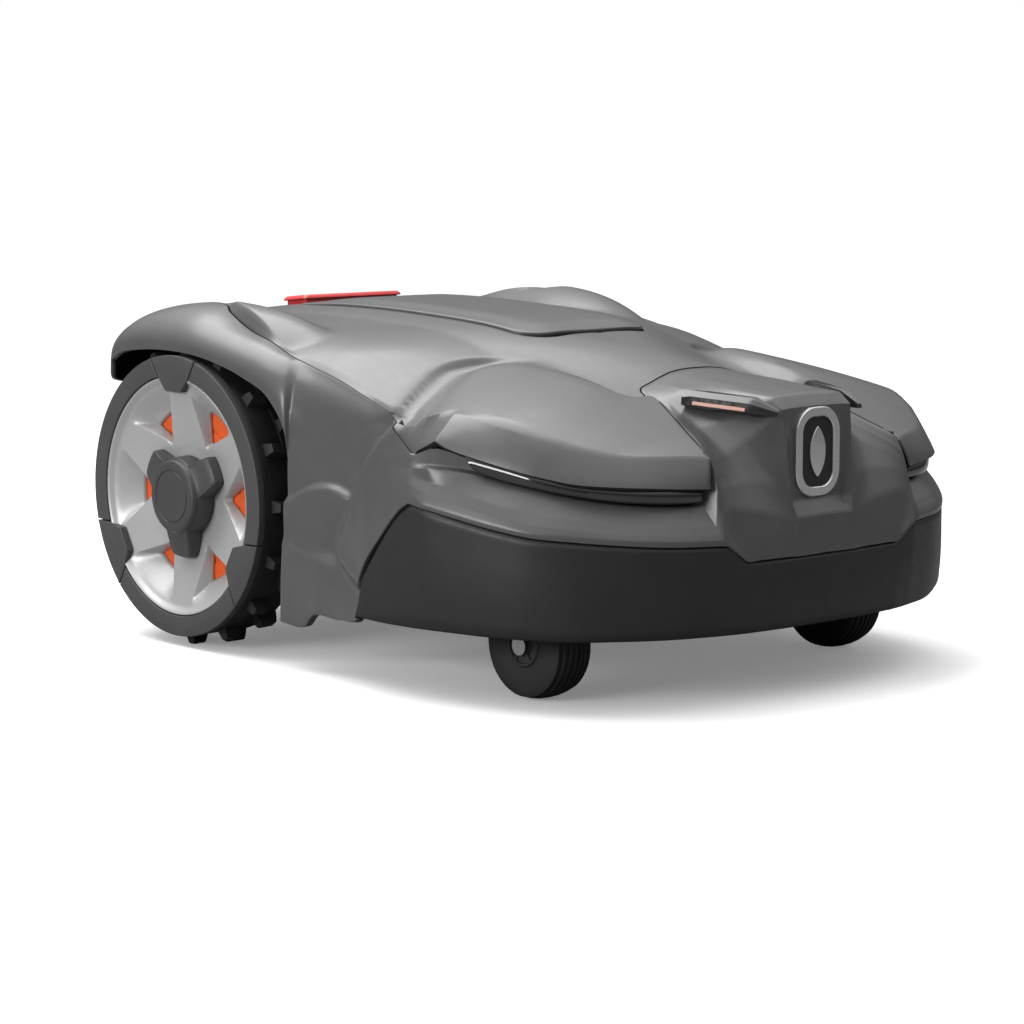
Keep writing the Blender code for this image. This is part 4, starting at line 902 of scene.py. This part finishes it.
def make_hatch():
    """Domed lid: rounded edge, chamfered border and a flat middle."""
    corners = np.array(lid_outline(0, 0, 0), float)
    outline = through(corners, [5] * (len(corners) - 1), {1})
    share = np.linspace(0, 1, 26)[None, :, None]
    hub = np.stack([np.zeros(len(outline)), np.clip(outline[:, 1], -18, 178)], axis=1)
    plan = outline[:, None] * (1 - share) + hub[:, None] * share
    reach = np.linalg.norm(plan - outline[:, None], axis=2)
    rear = step((LID_REAR + 4 - plan[..., 1]) / 60)
    proud = 0.8 + rear * (1.4 + 2.0 * step((reach - 2) / 22))
    heights = roof(plan[..., 0], plan[..., 1]) + proud
    grid = relax(np.concatenate([plan, heights[..., None]], axis=2), 1)
    shape = Shape()
    shape.grid(grid)
    middle = (0, 60, 100)
    shape.grid(lip(grid[:, 0], grid[:, 2], 1.4, 2.6, middle))
    piece(shell(shape, "hatch_lid_skin", "body", middle, 1.6), "hatch", "body_grey", "hatch_lid")


def rounded(half_x, half_y, radius, steps=5):
    """Rounded rectangle about the origin, counter-clockwise."""
    points = []
    for sx, sy, start in ((1, -1, -90), (1, 1, 0), (-1, 1, 90), (-1, -1, 180)):
        for i in range(steps + 1):
            a = math.radians(start + 90 * i / steps)
            points.append((sx * (half_x - radius) + radius * math.cos(a),
                           sy * (half_y - radius) + radius * math.sin(a)))
    return points


def make_stop_button():
    """Red frame with a sunken dark middle and a ribbed press pad."""
    frame_shape, pad = Shape(), Shape()
    rings = []
    for grow, corner, z in ((-2.5, 2, -8), (-2.5, 2, 3.3), (-0.6, 3, 3.4), (0, 3, 4.0), (-0.5, 3, 5.2),
                            (-2.2, 2.6, 6.6), (-4.4, 2.2, 6.7), (-5.0, 2, 6.2), (-5.6, 2, 3.6)):
        points = rounded(BUTTON_HALF[0] + grow, BUTTON_HALF[1] + grow, corner)
        rings.append([(x, BUTTON_Y + y, float(roof(x, BUTTON_Y + y)) + z) for x, y in points])
    frame_shape.loft(rings)
    plain_piece(frame_shape, "stop_button_frame", "red", 40, "stop_button", "stop_red", "stop_button")
    for i in range(7):
        x = -33 + 11 * i
        ring = rounded(4.0, 6.5, 1.6, 3)
        pad.loft([[(x + a * g, BUTTON_Y + b * g, float(roof(x, BUTTON_Y)) + z) for a, b in ring]
                  for g, z in ((1, 3.0), (1, 4.4), (0.86, 5.0))])
    plain_piece(pad, "stop_button_pad", "deep_red", 40, "stop_button", "stop_red")


# ---- Bumper, lights and badge


def make_bumper():
    """Bumper round the nose, with a near-black strip behind the seam over it as painted shade in the gap."""
    top, foot = np.array(BUMPER_TOP, float), np.array(BUMPER_FOOT, float)
    sections = []
    for i, ((x, y, z), (foot_x, foot_y)) in enumerate(zip(top, foot)):
        back = 1.6 if i > 9 else 0.0
        high = z - 2 * HALF_SEAM - 0.6
        level_points = []
        for level, tuck in BUMPER_PROFILE:
            height = BUMPER_BOTTOM + (high - BUMPER_BOTTOM) * level
            across = foot_x + (x - foot_x) * level
            along = foot_y + (y - foot_y) * level
            nearer = inward(BUMPER_FOOT, i, tuck) - foot[i]
            if i == 0:
                nearer[0] = -across
            level_points.append((across + nearer[0], along + nearer[1] - back, height))
        sections.append(level_points)
    net = np.array(sections)
    counts = counts_for(net, 3.0)
    grid = relax(surface(net, counts, [3, 3, 7, 7, 4, 3], {2, 3, 11, 14}, {1}), 2)
    shape = Shape()
    shape.grid(grid)
    middle = (0, 0, 90)
    shape.grid(lip(grid[:, 0], grid[:, 2], 0.8, 3.0, middle))
    # Strip behind the seam in the near-black look: painted shade in the gap.
    gap_shade_strip = [(*inward(BUMPER_TOP, i, 4.2), point[2]) for i, point in enumerate(BUMPER_TOP[:-1])]
    gap_shade_strip = np.array(gap_shade_strip, float)
    gap_shade_strip[0, 0] = 0
    gap_shade_strip = through(gap_shade_strip, counts_for(gap_shade_strip[:, None], 5), {2, 3, 11, 14})
    shape.grid(np.stack([gap_shade_strip + (0, 0, 6), gap_shade_strip - (0, 0, 9)], axis=1), 1)
    piece(shell(shape, "bumper_skin", "bumper", middle, 2.2), "cover", "bumper_plastic", "bumper")


def make_headlight(side):
    """Smoked light bar along the slot, with a rounded face."""
    profile = [(19.0, 0.0), (13.0, 0.02), (11.2, 0.1), (10.2, 0.3), (10.1, 0.55), (10.8, 0.8), (12.0, 0.96),
               (19.0, 1.0)]
    edge = BUMPER_TOP[3:10]
    net = []
    for i, (floor, top) in enumerate(zip(SLOT_FLOOR[:7], slot_tops())):
        low, high = floor + 1.0, top - 0.4
        points = []
        for depth, level in profile:
            x, y = inward(edge, i, depth - (2.5 if i == 6 else 0))
            if i == 6:
                x, y = x - 2.0 + 6 * level * 0.4, y - 9 + 9 * level
            if i == 0:
                x, y = 101.5, -262.5 - (19.0 - depth) * 0.92
            points.append((side * x, y, low + (high - low) * level))
        net.append(points)
    net = np.array(net)
    shape = Shape()
    shape.loft(through(net, counts_for(net, 4)))
    word = SIDES[side]
    made = plain_piece(shape, word + "_headlight_bar", "lens", 25, "cover", "dark_lens", word + "_headlight")
    bevel(made, 0.5, 30)


def make_indicator(side):
    """Dark glossy housing on the shoulder of the nose with an amber strip along its outer face."""
    line = np.array([(62, -214, 199.5), (60, -221, 200.0), (47, -263, 197.0), (40, -280, 192.8)], float)
    across, along = 0.966, -0.259
    rings, strip = [], []
    for i, (x, y, z) in enumerate(line):
        size = (0.75, 1.0, 1.0, 0.28)[i]
        ring = []
        for out, up in ((4.4, -5.8), (5.4, -4.6), (4.8, 1.4), (1.4, 5.0), (-6.0, 5.2), (-6.0, -6.0)):
            ring.append((side * (x + across * out * size), y + along * out * size, z + up * size))
        rings.append(ring)
    shape = Shape()
    shape.loft(rings)
    name = SIDES[side] + "_indicator"
    bevel(plain_piece(shape, name + "_housing", "lens", 30, "cover", "dark_lens", name), 0.7, 25)
    for share in (0.04, 0.5, 0.93):
        x, y, z = line[1] + (line[2] - line[1]) * share
        strip.append([(side * (x + across * out), y + along * out, z + up)
                      for out, up in ((4.6, -4.2), (5.8, -4.0), (5.5, -1.6), (4.6, -1.4))])
    light = Shape()
    light.loft(strip)
    glow = plain_piece(light, name + "_strip", "amber", 30, "cover", "amber_light", name + "_light")
    bevel(glow, 0.25, 25)


def extruded(shape, outline, low, high, edge, place_point):
    """Extrusion of a closed outline with a rounded upper edge. A function places its points."""
    outline = np.array(outline, float)
    along = unit(np.roll(outline, -1, axis=0) - np.roll(outline, 1, axis=0))
    normal = np.stack([along[:, 1], -along[:, 0]], axis=1)
    rings = []
    for inset, height in ((0, low), (0, high - edge), (0.13 * edge, high - 0.5 * edge),
                          (0.5 * edge, high - 0.13 * edge), (edge, high)):
        rings.append([place_point(x, y, height) for x, y in outline - inset * normal])
    shape.loft(rings)


def make_badge():
    """Oval ring round a dark field with a leaf in its middle."""
    def on_face(x, y, h):
        return (x, -276.9 - h, 164.5 + y)

    def oval(half_x, half_y, radius, height):
        return [on_face(x, y, height) for x, y in rounded(half_x, half_y, radius, 10)]

    def finish(shape, name, look, *nodes):
        plain_piece(shape, "nose_badge_" + name, look, 35, "cover", "badge_aluminium", *nodes)

    ring, leaf, field = Shape(), Shape(), Shape()
    outer, inner = (21.5, 30.0, 17.5), (15.0, 23.5, 11.0)
    rings = [oval(*outer, -0.5), oval(*outer, 1.6), oval(20.9, 29.4, 16.9, 2.2),
             oval(15.6, 24.1, 11.6, 2.2), oval(*inner, 1.6), oval(*inner, -0.5)]
    ring.loft(rings + rings[:1], caps=False)
    finish(ring, "ring", "badge", "emblem")
    field.loft([oval(15.3, 23.8, 11.2, height) for height in (-0.4, 0.5)])
    finish(field, "field", "dark")
    blade = []
    for turn in np.linspace(0, 2 * math.pi, 40, endpoint=False):
        blade.append((7.5 * math.sin(turn) * abs(math.sin(turn)) ** 0.6, -17.0 * math.cos(turn)))
    extruded(leaf, blade, 0.3, 2.0, 0.5, on_face)
    finish(leaf, "leaf", "badge")


# ---- Drive wheels

AXLE = (0, AXLE_Y, WHEEL_R)
RIM_R, RING_R = 88.0, 103.4
RING_IN, RING_OUT = 208.6, 214.0
RIM_BACK = 193.0
TABS = [90 + 120 * k for k in range(3)]
# Levels of a tread cleat: radius, half its length round the wheel, inset of its sides.
CLEAT = [(101.5, 4.9, 0.0), (106.0, 4.2, 0.6), (110.2, 3.2, 1.6), (111.0, 2.6, 2.3)]


def at_wheel(grid, side):
    """Puts a grid about Z onto the axle of a drive wheel."""
    return np.stack([side * grid[..., 2], grid[..., 0] + AXLE_Y, grid[..., 1] + WHEEL_R], axis=-1)


def dish(radius):
    """Height of the rim's face at a radius."""
    return float(np.interp(radius, [33, 44, 81.5, 83, 86.4, 87.2, 87.8, 88.2, 92],
                           [198, 200, 208.6, 209.4, 213.2, 213.4, 212.8, 208.2, 208.0]))


def make_rim(side):
    """Silver rim: six dished spokes, windows with sloping walls between them and a raised border."""
    face_r = [14, 33, 42, 47.5, 56, 66, 75.5, 81.5, 83, 86.4, 87.2, 87.8, 88.2, 92]
    half = [2.5, 2.5, 2.5, 5.9, 12.0, 16.9, 20.3, 20.8, 22, 22, 22, 22, 22, 22]
    back_r = {3: 45.5, 4: 52, 5: 58, 6: 64.5}
    back_half = {3: 2.0, 4: 6.4, 5: 9.4, 6: 11.8}
    rows = [5, 4, 4, 5, 5, 5, 7, 2, 4, 1, 1, 2, 2]
    columns = [8, 6, 6, 6, 6, 8]
    parts = []
    for k in range(6):
        middle = 120 + 60 * k
        net = []
        for share in range(7):
            line = []
            for j, (radius, wide) in enumerate(zip(face_r, half)):
                turn = (-30, -wide, -wide * 0.6, 0, wide * 0.6, wide, 30)[share]
                height = dish(radius)
                if j in back_r and share in (2, 3, 4):
                    radius, height = back_r[j], RIM_BACK
                    turn = (share - 3) * back_half[j]
                line.append((radius, middle + turn, height))
            net.append(line)
        parts.append(surface_linear(np.array(net, float), columns, rows)[:-1])
    polar = np.concatenate(parts)
    a = np.radians(polar[..., 1])
    grid = np.stack([polar[..., 0] * np.cos(a), polar[..., 0] * np.sin(a), polar[..., 2]], axis=-1)
    grid = relax(np.concatenate([grid[-6:], grid, grid[:6]]), 1)[6:-6]
    per, first, last = sum(columns), sum(rows[:3]), sum(rows[:6])

    def keep(i, j):
        in_window = columns[0] + columns[1] <= i % per < per - columns[4] - columns[5]
        return not (in_window and first <= j < last)

    shape = Shape()
    shape.grid(at_wheel(grid, side), closed=True, keep=keep)
    made = shape.make(SIDES[side] + "_rim_face", ("silver",), 32, centre=(side * 150, AXLE_Y, WHEEL_R))
    wall(made, 1.2, 0)
    piece(made, SIDES[side] + "_wheel", "silver_plastic", SIDES[side] + "_wheel_rim")
    barrel = Shape()
    barrel.turned([(96.0, 167), (96.0, 206), (95, 207.4), (91.6, 207.4), (91.6, 206), (93.2, 204),
                   (93.2, 169), (92, 167)], 96, AXLE, side)
    for k in range(12):
        direction = np.array([math.cos(math.pi * k / 6), math.sin(math.pi * k / 6)])
        across = np.array([-direction[1], direction[0]])
        rings = []
        for radius in (30.0, 93.6):
            rings.append([on_axle((*(direction * radius + across * t), h), side, AXLE)
                          for t, h in ((-1.2, 176.5), (1.2, 176.5), (1.2, 188.0), (-1.2, 188.0))])
        barrel.loft(rings)
    plain_piece(barrel, SIDES[side] + "_rim_barrel", "silver", 35, SIDES[side] + "_wheel", "silver_plastic")


def surface_linear(net, columns, rows):
    """Fine grid with straight steps between the points of a net."""
    def spread(values, counts):
        parts = []
        for i, count in enumerate(counts):
            u = (np.arange(count) / count).reshape(-1, 1, 1)
            parts.append(values[i] * (1 - u) + values[i + 1] * u)
        parts.append(values[-1:])
        return np.concatenate(parts)

    fine = spread(net, columns)
    return spread(fine.swapaxes(0, 1), rows).swapaxes(0, 1)


def polar_points(pairs):
    """Plan points from (radius, angle in degrees) pairs."""
    return [(r * math.cos(math.radians(a)), r * math.sin(math.radians(a))) for r, a in pairs]


def make_ring(side):
    """Dark sidewall ring in six pieces: three arcs and the three tabs that lock them to the rim."""
    shape = Shape()

    def on_wheel(x, y, h):
        return on_axle((x, y, h), side, AXLE)

    for base in TABS:
        outer = [(RING_R, base + t) for t in np.linspace(15.5, 104.5, 40)]
        inside = [(RIM_R + 0.4, base + t) for t in np.linspace(107.3, 12.7, 40)]
        extruded(shape, polar_points(outer + inside), RING_IN, RING_OUT, 0.7, on_wheel)
        outer = [(RING_R, base + t) for t in np.linspace(-14.9, 14.9, 14)]
        inside = [(RIM_R + 0.4, base + 12.0), (77.4, base + 7.0), (77.0, base + 5.5), (77.0, base - 5.5),
                  (77.4, base - 7.0), (RIM_R + 0.4, base - 12.0)]
        extruded(shape, polar_points(outer + inside), RING_IN, RING_OUT, 0.7, on_wheel)
    word = SIDES[side]
    plain_piece(shape, word + "_sidewall_segments", "ring", 35, word + "_wheel", "sidewall_grey",
                word + "_sidewall_ring")


def make_tyre(side):
    """Tread band with two rows of tapered cleats, staggered by half a step."""
    shape = Shape()
    shape.turned([(97.2, 167), (97.2, 207.8), (101.6, 207.8), (103.0, 206.6), (103.2, 203), (102.6, 186.5),
                  (101.8, 185.5), (102.6, 184.5), (103.0, 170), (101.5, 167)], 128, AXLE, side)
    for row, (low, high) in enumerate(((187.0, 202.6), (168.5, 184.0))):
        for k in range(16):
            base = -90 + (k + 0.5 * row) * 22.5
            rings = []
            for radius, half, inset in CLEAT:
                ring = []
                for t, h in ((-1, low + inset), (1, low + inset), (1, high - inset), (-1, high - inset)):
                    lean = (h - (low + high) / 2) * 0.16 * (1 if row else -1)
                    a = math.radians(base) + (t * half + lean) / radius
                    ring.append(on_axle((radius * math.cos(a), radius * math.sin(a), h), side, AXLE))
                rings.append(ring)
            shape.loft(rings)
    word = SIDES[side]
    plain_piece(shape, word + "_tread", "tread", 30, word + "_wheel", "black_rubber", word + "_drive_tyre")


def make_cap(side):
    """Hub cap: a round boss with a ringed face, and three flat lobes that slope away from it."""
    shape = Shape()
    columns = []
    for i in range(180):
        a = 2 * math.pi * i / 180
        off = abs((math.degrees(a) - 30 + 60) % 120 - 60)
        straight = 16.7 / (math.sin(math.radians(off)) + 0.131 * math.cos(math.radians(off)))
        reach = float(np.clip(-soft_max(-straight, -45.5, 4.0), 28.6, 45.5))
        end = 212.4 - 0.22 * (reach - 28.6)
        profile = [(0, 216.4), (18.4, 216.5), (18.8, 215.9), (19.6, 215.9), (20.0, 216.5), (24.4, 216.4),
                   (26.0, 215.7), (27.0, 214.4), (27.6, 212.9)]
        profile += [(27.9 + (reach - 28.8) * t, 212.4 + (end - 212.4) * t) for t in (0.05, 0.35, 0.7, 0.96)]
        profile += [(reach - 0.5, end - 0.5), (reach, end - 1.6), (reach + 0.3, 205), (reach + 0.6, 199.2)]
        columns.append([(r * math.cos(a), r * math.sin(a), h) for r, h in profile])
    shape.grid(at_wheel(np.array(columns), side), closed=True)
    # Its inside takes the near-black look: painted shade.
    made = shape.make(SIDES[side] + "_cap_shell", ("cap", "dark"), 28, centre=(side * 150, AXLE_Y, WHEEL_R))
    wall(made, 1.2)
    piece(made, SIDES[side] + "_wheel", "cap_grey", SIDES[side] + "_hub_cap")


def make_disc(side):
    """Orange disc behind the spokes with a shallow groove round it."""
    shape = Shape()
    shape.turned([(7, 189.4), (7, 192.8), (50, 192.8), (51, 192.2), (53, 192.2), (54, 192.8), (92.2, 192.8),
                  (92.2, 190.0), (90, 189.4)], 96, AXLE, side)
    word = SIDES[side]
    plain_piece(shape, word + "_orange_disc", "orange", 30, word + "_wheel", "orange_plastic",
                word + "_wheel_disc")


# ---- Casters


def make_caster(side):
    """Ribbed caster tyre on a hub with five pockets and a bolt head."""
    word = SIDES[side]
    centre = (side * CASTER_X, CASTER_Y, CASTER_R)
    tyre, hub = Shape(), Shape()
    profile = [(15.2, -14.6), (21, -15.6), (30, -16.4)]
    ribs = 7
    for i in range(ribs):
        middle = -13.2 + 26.4 * i / (ribs - 1)
        crown = 37.2 - 0.013 * middle**2
        profile += [(crown - 1.5, middle - 1.75), (crown, middle - 1.2), (crown, middle + 1.2),
                    (crown - 1.5, middle + 1.75)]
    profile += [(30, 16.4), (21, 15.6), (15.2, 14.6)]
    tyre.turned(profile, 72, centre)
    plain_piece(tyre, word + "_caster_tread", "rubber", 28, word + "_caster_wheel", "black_rubber",
                word + "_caster_tyre")
    hub.turned([(3.7, -15.6), (14.0, -15.6), (14.8, -14.8), (14.8, 14.8), (14.0, 15.6), (12.6, 15.6),
                (12.0, 14.2), (8.2, 14.2), (7.6, 15.6), (3.7, 15.6)], 48, centre, side)
    for k in range(5):
        a = math.radians(72 * k + 18)
        rings = []
        for radius in (7.4, 12.4):
            ring = [(radius * math.cos(a) - t * math.sin(a), radius * math.sin(a) + t * math.cos(a), h)
                    for t, h in ((-0.9, 13.6), (0.9, 13.6), (0.9, 15.3), (-0.9, 15.3))]
            rings.append([on_axle(point, side, centre) for point in ring])
        hub.loft(rings)
    plain_piece(hub, word + "_caster_hub_disc", "chassis", 30, word + "_caster_wheel", "chassis_plastic",
                word + "_caster_hub")


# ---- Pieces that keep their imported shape

KEPT = {
    "chassis": ["lower_housing", "upper_housing", "battery_cover", "height_carrier", "cutting_disc"],
    "rubber": ["housing_seal"],
    "battery": ["battery_pack"],
    "board": ["circuit_board"],
    "panel": ["control_panel"],
    "lens": ["display_window"],
    "cap": ["jog_dial"],
    "steel": ["cutting_motor", "skid_plate", "blade_1", "blade_2", "blade_3"],
}
for word in SIDES.values():
    KEPT["chassis"].append(word + "_caster_fork")
    KEPT["rubber"] += [word + "_front_cover_post", word + "_rear_cover_post"]
    KEPT["steel"] += [word + "_wheel_axle", word + "_drive_motor", word + "_caster_axle",
                      word + "_charging_contact"]


def dress_kept():
    """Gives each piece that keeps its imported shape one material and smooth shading."""
    for name, look in [(name, look) for look, names in KEPT.items() for name in names]:
        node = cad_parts[name]
        node.data.materials.clear()
        node.data.materials.append(LOOKS[look])
        node.data.polygons.foreach_set("material_index", [0] * len(node.data.polygons))
        node.data.shade_smooth()
        node.data.set_sharp_from_angle(angle=math.radians(28))


# ---- Stage


def by_ray(tree, lit, seen, output):
    """One shader for the light in the scene, another for what the camera sees."""
    path = add_node(tree, "ShaderNodeLightPath")
    mix = add_node(tree, "ShaderNodeMixShader")
    tree.links.new(path.outputs["Is Camera Ray"], mix.inputs["Fac"])
    tree.links.new(lit, mix.inputs[1])
    tree.links.new(seen, mix.inputs[2])
    tree.links.new(mix.outputs["Shader"], tree.nodes[output].inputs["Surface"])


def stage():
    """Pale floor, studio world, two lamps and the camera of the photo."""
    floor = Shape()
    floor.add([(-9000, -9000, 0), (9000, -9000, 0), (9000, 9000, 0), (-9000, 9000, 0)], [(0, 1, 2, 3)])
    paper = Nodes("pale_floor")
    paper.color(paper.noise(3), (0.86, 0.86, 0.86), (0.88, 0.88, 0.88))
    paper.set(Roughness=0.75, Specular_IOR_Level=0.3, Emission_Color=(1, 1, 1, 1), Emission_Strength=0.2)
    dim = paper.add("ShaderNodeBsdfDiffuse", Color=(0.24, 0.24, 0.24, 1))
    by_ray(paper.tree, dim.outputs["BSDF"], paper.shader.outputs["BSDF"], "Material Output")
    LOOKS["floor"] = paper.material
    floor.make("floor", ("floor",), 180)

    world = bpy.data.worlds.new("studio")
    bpy.context.scene.world = world
    world.use_nodes = True
    tree = world.node_tree
    white = (1, 1, 1, 1)
    back = tree.nodes["Background"]
    back.inputs["Color"].default_value = white
    place = add_node(tree, "ShaderNodeTexCoord")
    split = add_node(tree, "ShaderNodeSeparateXYZ")
    height = add_node(tree, "ShaderNodeMapRange", From_Min=0.18, From_Max=0.95, To_Min=0.1, To_Max=1.5)
    tree.links.new(place.outputs["Generated"], split.inputs["Vector"])
    tree.links.new(split.outputs["Z"], height.inputs["Value"])
    tree.links.new(height.outputs["Result"], back.inputs["Strength"])
    seen = add_node(tree, "ShaderNodeBackground", Color=white, Strength=1.0)
    by_ray(tree, back.outputs["Background"], seen.outputs["Background"], "World Output")

    def area(name, location, target, size, power):
        data = bpy.data.lights.new(name, "AREA")
        data.shape = "RECTANGLE"
        data.size, data.size_y = size
        data.energy = power
        lamp = bpy.data.objects.new(name, data)
        lamp.location = location
        lamp.rotation_euler = (Vector(target) - Vector(location)).to_track_quat("-Z", "Y").to_euler()
        bpy.context.scene.collection.objects.link(lamp)

    # Name, place, target, size in metres, and power in watts.
    area("overhead", (-0.2, 0.7, 1.9), (0, 0.0, 0.1), (2.2, 1.6), 46)
    area("left", (-2.4, 0.1, 0.75), (0, 0, 0.12), (1.3, 0.5), 28)

    bpy.context.scene.view_settings.view_transform = "Standard"
    camera = bpy.data.objects.new("camera", bpy.data.cameras.new("camera"))
    camera.data.lens = 100.4
    camera.data.sensor_width = 36
    camera.data.clip_end = 100
    camera.location = (-1.41589, -1.55114, 0.37299)
    yaw, pitch = math.radians(41.9), math.radians(7.5)
    forward = Vector((math.sin(yaw) * math.cos(pitch), math.cos(yaw) * math.cos(pitch), -math.sin(pitch)))
    camera.rotation_euler = forward.to_track_quat("-Z", "Y").to_euler()
    bpy.context.scene.collection.objects.link(camera)
    bpy.context.scene.camera = camera


make_body()
make_cover()
make_hatch()
make_stop_button()
make_bumper()
make_badge()
for hand in (-1, 1):
    make_headlight(hand)
    make_indicator(hand)
    make_rim(hand)
    make_ring(hand)
    make_tyre(hand)
    make_cap(hand)
    make_disc(hand)
    make_caster(hand)
dress_kept()
stage()
